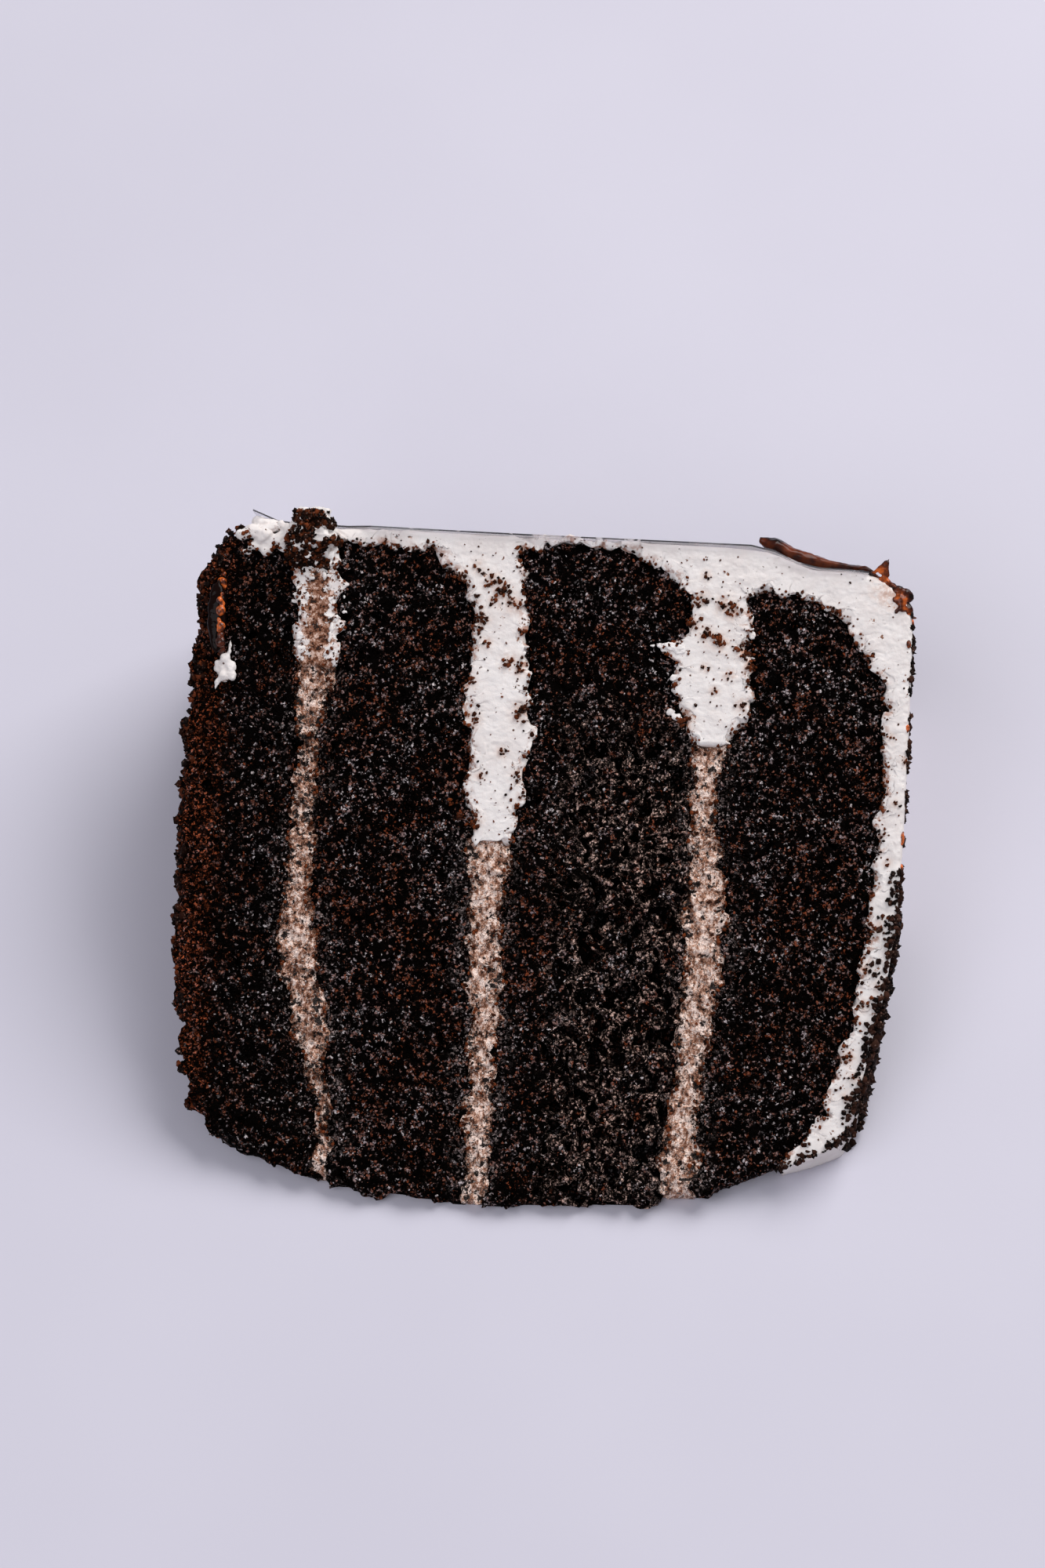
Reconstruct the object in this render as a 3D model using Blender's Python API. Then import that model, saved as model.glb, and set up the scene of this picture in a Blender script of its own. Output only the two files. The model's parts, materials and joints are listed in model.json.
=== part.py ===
"""A slice of four-layer chocolate cake, lying on one of its cut sides.

The whole cake is a body of revolution, so each layer is a profile in the plane of a cut,
turned about the cake's axis through the angle of the slice. X runs up through the cake from
its base, Y from the thin tip to the rim, and Z up from the cut side that it lies on.
"""

import math
import random

import bmesh
import bpy
from mathutils import Matrix, Vector, noise

MM = 0.001

WEDGE_ANGLE = math.radians(28.0)
RIM_RADIUS = 108.3 * MM
FIT_GAP = 0.3 * MM

# The origin: the middle of the slice's footprint, measured from the cake's axis.
ORIGIN = Vector((4.15 * MM, 57.38 * MM, 0))

# Where each layer's edge runs in the cut, from the tip: (distance from the axis, height), mm.
EDGES = {
    "sponge_1 base": ((13, -45), (18.5, -48.4), (30, -50.9), (60, -52.2), (85, -51.7), (107, -51.2)),
    "sponge_1 top": ((7.4, -29.2), (19, -30.1), (31, -33.8), (46, -36.2), (70, -35.2), (107, -37.6)),
    "sponge_2 base": ((6.8, -26.8), (28, -28.4), (46, -30.9), (74, -32.2), (87, -29.9), (106, -30.2)),
    "sponge_2 top": ((4.7, -5.9), (30, -6.6), (60, -8.0), (106, -8.6)),
    "sponge_3 base": ((4.6, -2.4), (30, -1.7), (56, -1.5), (74, 0.7), (90, -0.3), (107, -1.8)),
    "sponge_3 top": ((6.3, 24.0), (24, 25.6), (50, 26.2), (70, 26.4), (86, 24.0), (107, 24.6)),
    "sponge_4 base": ((7.6, 29.4), (30, 31.1), (50, 32.6), (70, 30.3), (84, 34.5), (101, 33.7)),
    "sponge_4 top": ((13.6, 42), (16.4, 45.6), (20.5, 48.9), (40, 53.4), (62, 55.5), (101, 56)),
    "cream top": ((16.6, 51.5), (19.2, 53.1), (30, 55.4), (40, 57.5), (54, 59.1), (76, 59.4), (97, 59.2)),
}

# Each sponge's rim radius, and the (reach, depth) of its rounded corners at the rim, in mm.
RIMS = {
    "sponge_1": (106.5, {"base": (9, 6)}),
    "sponge_2": (106.0, {"top": (14, 11)}),
    "sponge_3": (107.2, {"top": (8, 16)}),
    "sponge_4": (101.1, {"top": (22, 15)}),
}

# Distance from the axis at which each ring of white cream between two sponges ends.
DAM_ENDS = (87.0 * MM, 61.0 * MM, 77.5 * MM)
DAM_END_SAG = 0.5 * MM
FILLING_SINK = 0.5 * MM

# White cream on the rim: it starts above the cake's base and drops away near the top edge.
CREAM_FOOT = -44.0 * MM
DIP_START, DIP_END, DIP_DEPTH = 34.0 * MM, 44.0 * MM, 2.9 * MM
EDGE_START, EDGE_REACH, EDGE_DEPTH = 50.0 * MM, 9.2 * MM, 8.5 * MM

# Where the cream on top thins out round the slice's worn tip: (height, distance from axis), mm.
CREAM_TIP = 16.6 * MM
HOOK = ((50.0, 15.7), (46.2, 14.0), (42.4, 12.7))

# Lump of cream that stands up at the rim of the upper cut, over the first ring of cream.
LUMP_PLACE = Vector((-34.6 * MM, 107.2 * MM, 1.5 * MM))
LUMP_RADII = (4.0 * MM, 4.3 * MM, 2.3 * MM)

# Clear film round the rim. Its upper edge stands proud of the cut, apart from at the lump.
FILM_THICKNESS = 0.25 * MM
FILM_PROUD = 1.3 * MM
FILM_LOWERED = 2.9 * MM
FILM_LIFT = 0.8 * MM
FILM_END = 52.0 * MM
FILM_CURL, FILM_CURL_REACH = 1.6 * MM, 7.0 * MM

# Chocolate glaze: a bead along the top edge, and drips that run over the film towards the base.
# The bead thins out towards the upper cut, where the knife dragged it off. Each drip is (share of
# the way up the rim, height in the cake of its end, half width), mm, and its thin neck swells to a
# full bulb between two shares of its length.
BEAD_LOW, BEAD_INNER = 52.6 * MM, 97.0 * MM
BEAD_THICKNESS = 1.4 * MM
BEAD_SWELL, BEAD_SWELL_SPREAD = 0.8, 9.0 * MM
BEAD_THIN, BEAD_THIN_FROM, BEAD_THIN_TO = 0.3, math.radians(14), math.radians(23)
BEAD_LIFT, BEAD_PROUD = 0.6 * MM, 0.3 * MM
DRIPS = ((0.90, 35.0, 2.0), (0.66, 14.0, 1.8), (0.43, 31.0, 2.2), (0.19, 6.0, 1.9))
DRIP_START = 56.3 * MM
DRIP_NECK, DRIP_BULB = 0.14, 0.5
BULB_START, BULB_END = 0.35, 0.65
DRIP_END_TAPER = 0.45

# Biscuit crumbs on top of the cake, thick towards the middle and thin towards the rim.
CRUMB_INNER, CRUMB_REACH = 18.0 * MM, 58.0 * MM
CRUMB_BED = 0.9 * MM
CRUMB_RELIEF = 0.2 * MM
CRUMB_FLOOR_ANGLE = 0.03
CRUMB_COUNT = 45
CRUMB_SIZES = (0.9 * MM, 1.7 * MM)

# Smears at the base edge of the upper cut: (middle, half length along Y, half width along X), mm.
GLAZE_SMEAR = (Vector((-48.6, 93.5, 0)), 5.6, 1.5)
CREAM_SMEAR = (Vector((-47.2, 84.6, 0)), 2.6, 2.0)
SMEAR_LIFT, SMEAR_HEIGHT = 0.6 * MM, 0.8 * MM

# Relief of the torn crumb where the sponge shows, and how the soft layers have settled.
CRAG_HEIGHT, BASE_CRAG = 0.55 * MM, 0.9 * MM
CRAG_SPREAD = 4.0 * MM
SETTLE_SHIFT, SETTLE_WAVE = 1.4 * MM, 80.0 * MM

# How finely the surfaces are divided.
ARC_STEPS = 5
ACROSS_STEPS, ALONG_STEPS = 7, 24
RIM_CROWDING = 0.2
FILLING_ACROSS_STEPS, FILLING_ALONG_STEPS = 2, 18
RIM_STEPS, EDGE_STEPS, TOP_STEPS = 14, 7, 16
FILM_STEPS = 26
DRIP_SIDES, DRIP_STEPS = 10, 9
CRUMB_STEPS = 12

ROUND_SPLIT = math.sin(math.radians(45))
ON_PLANE = 0.01 * MM
CUT_NORMAL = Matrix.Rotation(WEDGE_ANGLE, 3, "X") @ Vector((0, 0, 1))

# Each kind's colour and roughness.
KINDS = {
    "sponge": ((0.020, 0.009, 0.006), 0.75),
    "filling": ((0.24, 0.14, 0.10), 0.6),
    "cream": ((0.80, 0.76, 0.72), 0.5),
    "crumbs": ((0.018, 0.009, 0.007), 0.8),
    "glaze": ((0.060, 0.012, 0.004), 0.15),
    "film": ((0.85, 0.84, 0.88), 0.1),
}


def smooth_curve(points):
    """A function that gives the height of a smooth curve through points (radius, height) in mm."""
    radii = [p[0] * MM for p in points]
    heights = [p[1] * MM for p in points]

    def slope(i):
        before, after = max(i - 1, 0), min(i + 1, len(radii) - 1)
        return (heights[after] - heights[before]) / (radii[after] - radii[before])

    def height(radius):
        if radius <= radii[0]:
            return heights[0]
        if radius >= radii[-1]:
            return heights[-1]
        i = max(k for k in range(len(radii) - 1) if radii[k] <= radius)
        step = radii[i + 1] - radii[i]
        u = (radius - radii[i]) / step
        ease = u * u * (3 - 2 * u)
        bend = slope(i) * u * (1 - u) ** 2 + slope(i + 1) * u * u * (u - 1)
        return heights[i] * (1 - ease) + heights[i + 1] * ease + step * bend

    return height


def eased(value, start, end):
    """Goes smoothly from 0 to 1 as a value goes from start to end."""
    share = min(max((value - start) / (end - start), 0), 1)
    return share * share * (3 - 2 * share)


def station(i):
    """Share of the way from tip to rim of a sponge's row of points, closer together at the rim."""
    share = i / ALONG_STEPS
    return share + RIM_CROWDING * share * (1 - share)


def worn(share, depth):
    """How deep a quarter ellipse has fallen away, at a share of the way along it."""
    share = min(max(share, 0), ROUND_SPLIT)
    return depth * (1 - math.sqrt(1 - share * share))


class Sponge:
    """One sponge layer: its two edges in the cut, its rim, and how round its rim corners are."""

    def __init__(self, name):
        self.name = name
        self.rim = RIMS[name][0] * MM
        self.corners = {side: Vector(size) * MM for side, size in RIMS[name][1].items()}
        self.edges = {side: smooth_curve(EDGES[f"{name} {side}"]) for side in ("base", "top")}
        self.tips = {side: EDGES[f"{name} {side}"][0][0] * MM for side in ("base", "top")}

    def edge(self, side, radius):
        """Height in the cake of the base or top edge at a distance from the axis."""
        height = self.edges[side](radius)
        if side in self.corners:
            reach, depth = self.corners[side]
            fall = worn((radius - self.rim + reach) / reach, depth)
            height += fall if side == "base" else -fall
        return height

    def x_at(self, across, radius):
        """Height in the cake at a share of the way across the layer, and a distance from the axis."""
        low = self.edge("base", radius)
        return low + across * (self.edge("top", radius) - low)

    def rim_at(self, across):
        """Distance of the rim from the axis at a share of the way across the layer."""
        radius = self.rim
        halvings = 8
        for _ in range(halvings):
            x = self.x_at(across, radius)
            fall = 0
            for side, (reach, depth) in self.corners.items():
                inset = abs(x - self.edges[side](radius))
                fall += worn((depth - inset) / depth, reach)
            radius = (radius + self.rim - fall) / 2
        return radius

    def point(self, across, along):
        """Point of the profile at shares of the way across the layer and from tip to rim."""
        start = self.tips["base"] + across * (self.tips["top"] - self.tips["base"])
        radius = start + along * (self.rim_at(across) - start)
        return Vector((self.x_at(across, radius), radius, 0))

    def around_rim(self, start, end, foot):
        """Points up the top side from one radius, round the rim, and down the base side to another."""
        rows = range(ALONG_STEPS + 1)
        up = [self.point(1, station(i)) for i in rows]
        rim = [self.point(i / ACROSS_STEPS, 1) for i in range(ACROSS_STEPS - 1, 0, -1)]
        down = [self.point(0, station(i)) for i in reversed(rows)]
        run = [p for p in up if p.y >= start] + rim + [p for p in down if p.y >= end]
        return [p for p in run if p.x > foot]


SPONGES = [Sponge(name) for name in RIMS]
CREAM_TOP = smooth_curve(EDGES["cream top"])


def material(kind):
    """The plain material of a kind of food or film, made once."""
    name = "slice_" + kind
    found = bpy.data.materials.get(name)
    if found:
        return found
    colour, roughness = KINDS[kind]
    made = bpy.data.materials.new(name)
    made.use_nodes = True
    shader = made.node_tree.nodes["Principled BSDF"]
    shader.inputs["Base Color"].default_value = (*colour, 1)
    shader.inputs["Roughness"].default_value = roughness
    shader.inputs["Metallic"].default_value = 0.0
    return made


def settle(point):
    """Moves a point as the soft layers have sunk and shifted below the upper cut."""
    depth = min(max(1 - angle_of(point) / WEDGE_ANGLE, 0), 1)
    shift = SETTLE_SHIFT * math.sin(math.pi * depth / 2)
    return point + Vector((shift * math.sin(2 * math.pi * radius_of(point) / SETTLE_WAVE), 0, 0))


def radius_of(point):
    """Distance of a point from the cake's axis."""
    return math.hypot(point.y, point.z)


def angle_of(point):
    """Angle of a point about the cake's axis, from the lower cut."""
    return math.atan2(point.z, point.y)


def turned(point, angle):
    """A point turned about the cake's axis."""
    return Matrix.Rotation(angle, 3, "X") @ point


def on_upper_cut(point):
    """Whether a point lies in the plane of the upper cut."""
    return abs(point.dot(CUT_NORMAL)) < ON_PLANE


def crags(point):
    """Height of the torn crumb's relief at a point, mostly from -1 to 1."""
    return noise.noise(point / CRAG_SPREAD) + 0.5 * noise.noise(point * 2 / CRAG_SPREAD)


def new_object(name, bm, kind, smooth_angle=math.radians(40)):
    """Makes a finished mesh into a named object with its material."""
    bmesh.ops.recalc_face_normals(bm, faces=bm.faces)
    mesh = bpy.data.meshes.new(name)
    bm.to_mesh(mesh)
    bm.free()
    mesh.materials.append(material(kind))
    mesh.shade_smooth()
    mesh.set_sharp_from_angle(angle=smooth_angle)
    obj = bpy.data.objects.new(name, mesh)
    bpy.context.scene.collection.objects.link(obj)
    return obj


def union(name, pieces, kind):
    """Joins closed pieces into one solid with a Boolean, and removes them."""
    group = bpy.data.collections.new(name + "_pieces")
    bpy.context.scene.collection.children.link(group)
    for piece in pieces[1:]:
        bpy.context.scene.collection.objects.unlink(piece)
        group.objects.link(piece)
    joining = pieces[0].modifiers.new("join", "BOOLEAN")
    joining.operation = "UNION"
    joining.operand_type = "COLLECTION"
    joining.collection = group
    joining.solver = "MANIFOLD"
    bpy.context.view_layer.update()
    shape = pieces[0].evaluated_get(bpy.context.evaluated_depsgraph_get())
    bm = bmesh.new()
    bm.from_mesh(bpy.data.meshes.new_from_object(shape))
    for piece in pieces:
        bpy.data.objects.remove(piece)
    bpy.data.collections.remove(group)
    return new_object(name, bm, kind)


def spin_profile(bm, start, end, steps):
    """Turns the faces of a profile about the cake's axis, from one angle to another."""
    bmesh.ops.rotate(bm, verts=bm.verts, cent=(0, 0, 0), matrix=Matrix.Rotation(start, 3, "X"))
    bmesh.ops.spin(
        bm,
        geom=bm.verts[:] + bm.edges[:] + bm.faces[:],
        cent=(0, 0, 0),
        axis=(1, 0, 0),
        angle=end - start,
        steps=steps,
    )


def profile_block(across_steps, along_steps, place):
    """A turned block whose profile is a grid, put in place by its rows across and along."""
    bm = bmesh.new()
    bmesh.ops.create_grid(bm, x_segments=across_steps, y_segments=along_steps, size=0.5)
    for v in bm.verts:
        v.co = place(v.co.x + 0.5, round((v.co.y + 0.5) * along_steps))
    spin_profile(bm, 0, WEDGE_ANGLE, ARC_STEPS)
    return bm


def flatten_rest_face(bm):
    """Joins the faces of the lower cut, which lie flat on the table, into one."""
    flat = [f for f in bm.faces if all(abs(v.co.z) < ON_PLANE for v in f.verts)]
    bmesh.ops.dissolve_faces(bm, faces=flat)


def pushed_out(points, distance):
    """A run of profile points moved to its right by a distance, measured square to its edges."""
    ways = [(b - a).normalized() for a, b in zip(points, points[1:])]
    rights = [Vector((way.y, -way.x, 0)) for way in ways]
    moved = []
    for p, before, after in zip(points, rights[:1] + rights, rights + rights[-1:]):
        bisector = (before + after).normalized()
        moved.append(p + bisector * distance / max(bisector.dot(before), ROUND_SPLIT))
    return moved


def build_sponge(sponge):
    """A sponge layer, with relief on the cut that shows and on the cake's base."""
    bm = profile_block(ACROSS_STEPS, ALONG_STEPS, lambda s, i: sponge.point(s, station(i)))
    for v in bm.verts:
        rest = v.co.copy()
        if on_upper_cut(rest):
            v.co += CUT_NORMAL * CRAG_HEIGHT * crags(rest)
        on_base = rest.x < sponge.x_at(0, radius_of(rest)) + ON_PLANE
        if sponge is SPONGES[0] and on_base and rest.z > ON_PLANE:
            v.co.x += BASE_CRAG * crags(rest)
        v.co = settle(v.co)
    flatten_rest_face(bm)
    return new_object(sponge.name, bm, "sponge")


def build_filling(number):
    """The thin filling between two sponges, from the tip to the ring of white cream."""
    below, above = SPONGES[number], SPONGES[number + 1]
    start = max(below.tips["top"], above.tips["base"]) + FILLING_SINK
    end = DAM_ENDS[number] - FIT_GAP

    def place(across, row):
        radius = start + row / FILLING_ALONG_STEPS * (end - start)
        low = below.x_at(1, radius) + FIT_GAP
        high = above.x_at(0, radius) - FIT_GAP
        return Vector((low + across * (high - low), radius, 0))

    bm = profile_block(FILLING_ACROSS_STEPS, FILLING_ALONG_STEPS, place)
    unevenness = 0.6
    for v in bm.verts:
        if on_upper_cut(v.co):
            v.co -= CUT_NORMAL * FILLING_SINK * (1 + unevenness * crags(v.co))
        v.co = settle(v.co)
    flatten_rest_face(bm)
    return new_object(f"filling_{number + 1}", bm, "filling")


def rim_radius(x):
    """Distance of the cream's outer face from the axis, up the rim to the round top edge."""
    over = min(max((x - EDGE_START) / EDGE_REACH, 0), 1)
    dip = DIP_DEPTH * eased(x, DIP_START, DIP_END)
    return RIM_RADIUS - dip - EDGE_DEPTH * (1 - math.sqrt(1 - over * over))


def rim_points():
    """Points up the outer face of the cream, from its foot to the top of the cake."""
    straight = [CREAM_FOOT + i / RIM_STEPS * (EDGE_START - CREAM_FOOT) for i in range(RIM_STEPS)]
    turn = [i / EDGE_STEPS * math.pi / 2 for i in range(EDGE_STEPS + 1)]
    curved = [EDGE_START + EDGE_REACH * math.sin(a) for a in turn]
    return [Vector((x, rim_radius(x), 0)) for x in straight + curved]


def top_points():
    """Points along the top of the cream, from the rim's round edge to the worn tip."""
    start = rim_points()[-1].y
    radii = [start + i / TOP_STEPS * (CREAM_TIP - start) for i in range(1, TOP_STEPS + 1)]
    return [Vector((CREAM_TOP(r), r, 0)) for r in radii]


def dam_end(x_high, x_low, radius, steps=4):
    """The round end of a ring of cream, from its upper to its lower side."""
    middle, half = (x_high + x_low) / 2, (x_high - x_low) / 2
    angles = [math.pi * i / steps for i in range(steps + 1)]
    return [
        Vector((middle + half * math.cos(a), radius + DAM_END_SAG * (1 - math.sin(a)), 0))
        for a in angles
    ]


def cream_outline():
    """The closed profile of the cream: rim, top, hook at the tip, and the rings between sponges."""
    outline = rim_points() + top_points() + [Vector((x, r, 0)) * MM for x, r in HOOK]
    last = SPONGES[-1]
    outline += pushed_out(last.around_rim(0, DAM_ENDS[-1], CREAM_FOOT), FIT_GAP)
    for number in reversed(range(len(DAM_ENDS))):
        below, above = SPONGES[number], SPONGES[number + 1]
        end = DAM_ENDS[number]
        next_end = DAM_ENDS[number - 1] if number else 0
        outline += dam_end(above.x_at(0, end) - FIT_GAP, below.x_at(1, end) + FIT_GAP, end)
        outline += pushed_out(below.around_rim(end, next_end, CREAM_FOOT), FIT_GAP)
    return outline


def build_lump():
    """The uneven lump of cream, lying flat on the upper cut at the rim."""
    bm = bmesh.new()
    bmesh.ops.create_icosphere(bm, subdivisions=2, radius=1)
    place = turned(LUMP_PLACE, WEDGE_ANGLE)
    unevenness = 0.3
    for v in bm.verts:
        uneven = v.co * (1 + unevenness * noise.noise(v.co))
        squashed = Vector(uneven[i] * LUMP_RADII[i] for i in range(3))
        v.co = place + turned(squashed, WEDGE_ANGLE)
    return new_object("cream_lump", bm, "cream")


def build_cream():
    """The white cream: one solid round the rim, over the top and in three rings between sponges."""
    bm = bmesh.new()
    bm.faces.new([bm.verts.new(p) for p in cream_outline()])
    spin_profile(bm, 0, WEDGE_ANGLE, ARC_STEPS)
    for v in bm.verts:
        v.co = settle(v.co)
    return union("cream", [new_object("cream_coat", bm, "cream"), build_lump()], "cream")


def film_line(offset):
    """Profile points of the film at an offset from the cream, with its lower end curled away."""
    made = []
    for i in range(FILM_STEPS + 1):
        x = CREAM_FOOT + i / FILM_STEPS * (FILM_END - CREAM_FOOT)
        curl = max(0, 1 - (x - CREAM_FOOT) / FILM_CURL_REACH) ** 2 * FILM_CURL
        made.append(Vector((x, rim_radius(x) + offset + curl, 0)))
    return made


def build_film():
    """The clear film round the rim: a thin strip, lower where the lump of cream lies over it."""
    bm = bmesh.new()
    offsets = (FIT_GAP, FIT_GAP + FILM_THICKNESS)
    inner, outer = [[bm.verts.new(p) for p in film_line(offset)] for offset in offsets]
    for i in range(FILM_STEPS):
        bm.faces.new((inner[i], inner[i + 1], outer[i + 1], outer[i]))
    spin_profile(bm, FILM_LIFT / RIM_RADIUS, WEDGE_ANGLE + FILM_PROUD / RIM_RADIUS, ARC_STEPS + 1)
    lowered_reach = LUMP_RADII[0] + 3 * MM
    for v in bm.verts:
        near_lump = abs(v.co.x - LUMP_PLACE.x) < lowered_reach
        if near_lump and angle_of(v.co) > WEDGE_ANGLE:
            v.co = turned(v.co, -FILM_LOWERED / RIM_RADIUS)
        v.co = settle(v.co)
    return new_object("collar_film", bm, "film")


def build_bead():
    """The bead of glaze that follows the round top edge of the cream, turned through the slice."""
    edge = [p for p in rim_points() + top_points() if p.x > BEAD_LOW and p.y > BEAD_INNER]
    inner = pushed_out(edge, -FIT_GAP)
    outer = []
    for i, (low, high) in enumerate(zip(inner, pushed_out(edge, -FIT_GAP - BEAD_THICKNESS))):
        outer.append(low.lerp(high, math.sin(math.pi * (i + 0.5) / len(edge))))
    bm = bmesh.new()
    bm.faces.new([bm.verts.new(p) for p in inner + outer[::-1]])
    end = WEDGE_ANGLE + BEAD_PROUD / RIM_RADIUS
    spin_profile(bm, BEAD_LIFT / RIM_RADIUS, end, ARC_STEPS + 3)
    for v in bm.verts:
        angle = angle_of(v.co)
        local = turned(v.co, -angle)
        ground = min(inner, key=lambda p: (p - local).length)
        swell = 1 + BEAD_SWELL * noise.noise(v.co / BEAD_SWELL_SPREAD)
        thin = 1 - (1 - BEAD_THIN) * eased(angle, BEAD_THIN_FROM, BEAD_THIN_TO)
        v.co = settle(turned(ground + (local - ground) * swell * thin, angle))
    return new_object("glaze_bead", bm, "glaze")


def drip_clearance(x):
    """Height of a drip's inner side over the cream: close to it at the bead, then over the film."""
    return 3 * FIT_GAP + FILM_THICKNESS if x < FILM_END + FIT_GAP else 1.5 * FIT_GAP


def build_drip(share, end, half_width):
    """A drip of glaze from the bead, over the film's edge and down the rim to a full round end."""
    half_width *= MM
    bm = bmesh.new()
    rings = []
    for step in range(DRIP_STEPS + 1):
        down = step / DRIP_STEPS
        full = eased(down, BULB_START, BULB_END)
        half_thickness = half_width * (DRIP_NECK + (DRIP_BULB - DRIP_NECK) * full)
        taper = DRIP_END_TAPER if step == DRIP_STEPS else 1
        x = DRIP_START + down * (end * MM - DRIP_START)
        width = half_width * (0.75 + 0.35 * down ** 2) * taper
        centre = rim_radius(x) + drip_clearance(x) + half_thickness
        ring = []
        for side in range(DRIP_SIDES):
            a = 2 * math.pi * side / DRIP_SIDES
            local = Vector((x, centre + half_thickness * taper * math.sin(a), width * math.cos(a)))
            ring.append(bm.verts.new(settle(turned(local, share * WEDGE_ANGLE))))
        rings.append(ring)
    for low, high in zip(rings, rings[1:]):
        for side in range(DRIP_SIDES):
            after = (side + 1) % DRIP_SIDES
            bm.faces.new((low[side], low[after], high[after], high[side]))
    bm.faces.new(rings[0])
    bm.faces.new(rings[-1][::-1])
    return new_object("glaze_drip", bm, "glaze")


def build_glaze():
    """The chocolate glaze: its bead and drips as one solid."""
    return union("glaze", [build_bead()] + [build_drip(*drip) for drip in DRIPS], "glaze")


def crumb_ground(radius):
    """Height in the cake of the underside of the crumbs, at a distance from the axis."""
    return CREAM_TOP(radius) + FIT_GAP


def crumb_bed(radius):
    """Thickness of the bed of fine crumbs, which thins out towards the rim."""
    along = (radius - CRUMB_INNER) / (CRUMB_REACH - CRUMB_INNER)
    return CRUMB_BED * (1.25 - along ** 2)


def build_crumb(number, draw):
    """One larger crumb, set into the bed of fine crumbs at a random place."""
    size = draw.uniform(*CRUMB_SIZES)
    radius = CRUMB_INNER + size + (CRUMB_REACH - CRUMB_INNER - 2 * size) * math.sqrt(draw.random())
    angle = draw.uniform(size / radius + CRUMB_FLOOR_ANGLE, WEDGE_ANGLE)
    centre = turned(Vector((crumb_ground(radius) + size, radius, 0)), angle)
    unevenness = 0.4
    bm = bmesh.new()
    bmesh.ops.create_icosphere(bm, subdivisions=1, radius=size)
    for v in bm.verts:
        bump = noise.noise(v.co / size + Vector((number, 0, 0)))
        v.co = centre + v.co * (1 + unevenness * bump)
        ground = crumb_ground(radius_of(v.co)) + crumb_bed(radius_of(v.co)) / 2
        v.co.x = max(v.co.x, ground)
        v.co = settle(v.co)
    return new_object(f"crumb_{number}", bm, "crumbs")


def build_crumbs():
    """Biscuit crumbs on top of the cake: a thin uneven bed with the larger crumbs fused on."""

    def place(across, row):
        radius = CRUMB_INNER + row / CRUMB_STEPS * (CRUMB_REACH - CRUMB_INNER)
        return Vector((crumb_ground(radius) + across * crumb_bed(radius), radius, 0))

    bm = profile_block(1, CRUMB_STEPS, place)
    for v in bm.verts:
        if v.co.x > crumb_ground(radius_of(v.co)) + ON_PLANE:
            v.co.x += CRUMB_RELIEF * crags(v.co)
        v.co = settle(v.co)
    bed = new_object("crumb_bed", bm, "crumbs")
    draw = random.Random(7)
    crumbs = [build_crumb(number, draw) for number in range(CRUMB_COUNT)]
    return union("crumb_topping", [bed] + crumbs, "crumbs")


def build_smear(name, smear, kind):
    """A flat smear that follows the relief of the upper cut at the cake's base edge."""
    middle, half_length, half_width = smear
    bm = bmesh.new()
    bmesh.ops.create_icosphere(bm, subdivisions=2, radius=1)
    for v in bm.verts:
        bump = 1 + 0.25 * noise.noise(v.co + middle)
        spot = Vector((v.co.x * half_width * bump, v.co.y * half_length * bump, 0))
        ground = turned((middle + spot) * MM, WEDGE_ANGLE)
        height = SMEAR_LIFT + CRAG_HEIGHT * crags(ground) + SMEAR_HEIGHT * (1 + v.co.z)
        v.co = ground + CUT_NORMAL * height
    return new_object(name, bm, kind)


def place_on_origin(pieces):
    """Moves the slice so that the middle of its footprint is the origin."""
    whole = bpy.data.objects.new("cake_slice", None)
    bpy.context.scene.collection.objects.link(whole)
    whole.location = -ORIGIN
    for piece in pieces:
        piece.parent = whole


def main():
    """Builds every piece of the slice and puts it in place."""
    for obj in list(bpy.data.objects):
        bpy.data.objects.remove(obj)
    pieces = [build_sponge(sponge) for sponge in SPONGES]
    pieces += [build_filling(number) for number in range(len(DAM_ENDS))]
    pieces += [build_cream(), build_crumbs(), build_film(), build_glaze()]
    pieces.append(build_smear("glaze_smear", GLAZE_SMEAR, "glaze"))
    pieces.append(build_smear("cream_smear", CREAM_SMEAR, "cream"))
    place_on_origin(pieces)


main()
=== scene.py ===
"""Dresses a slice of four-layer chocolate cake, which lies on one of its cut sides.

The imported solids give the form. Each soft layer is remade from its solid with the torn crumb,
pores and streaks of the real one, and the loose crumbs, spikes of glaze and the clear collar are
added round it. Heights in the cake run along X from its base, and radii are measured from the
cake's axis, so a place in the upper cut is a (height, radius) pair in millimetres.
"""

import json
import logging
import math
import random
from collections.abc import Iterator, Sequence
from contextlib import contextmanager
from dataclasses import dataclass, field
from enum import Enum

import bpy
import numpy as np
from mathutils import Euler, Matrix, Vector, noise
from mathutils.bvhtree import BVHTree
from mathutils.kdtree import KDTree

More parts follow.
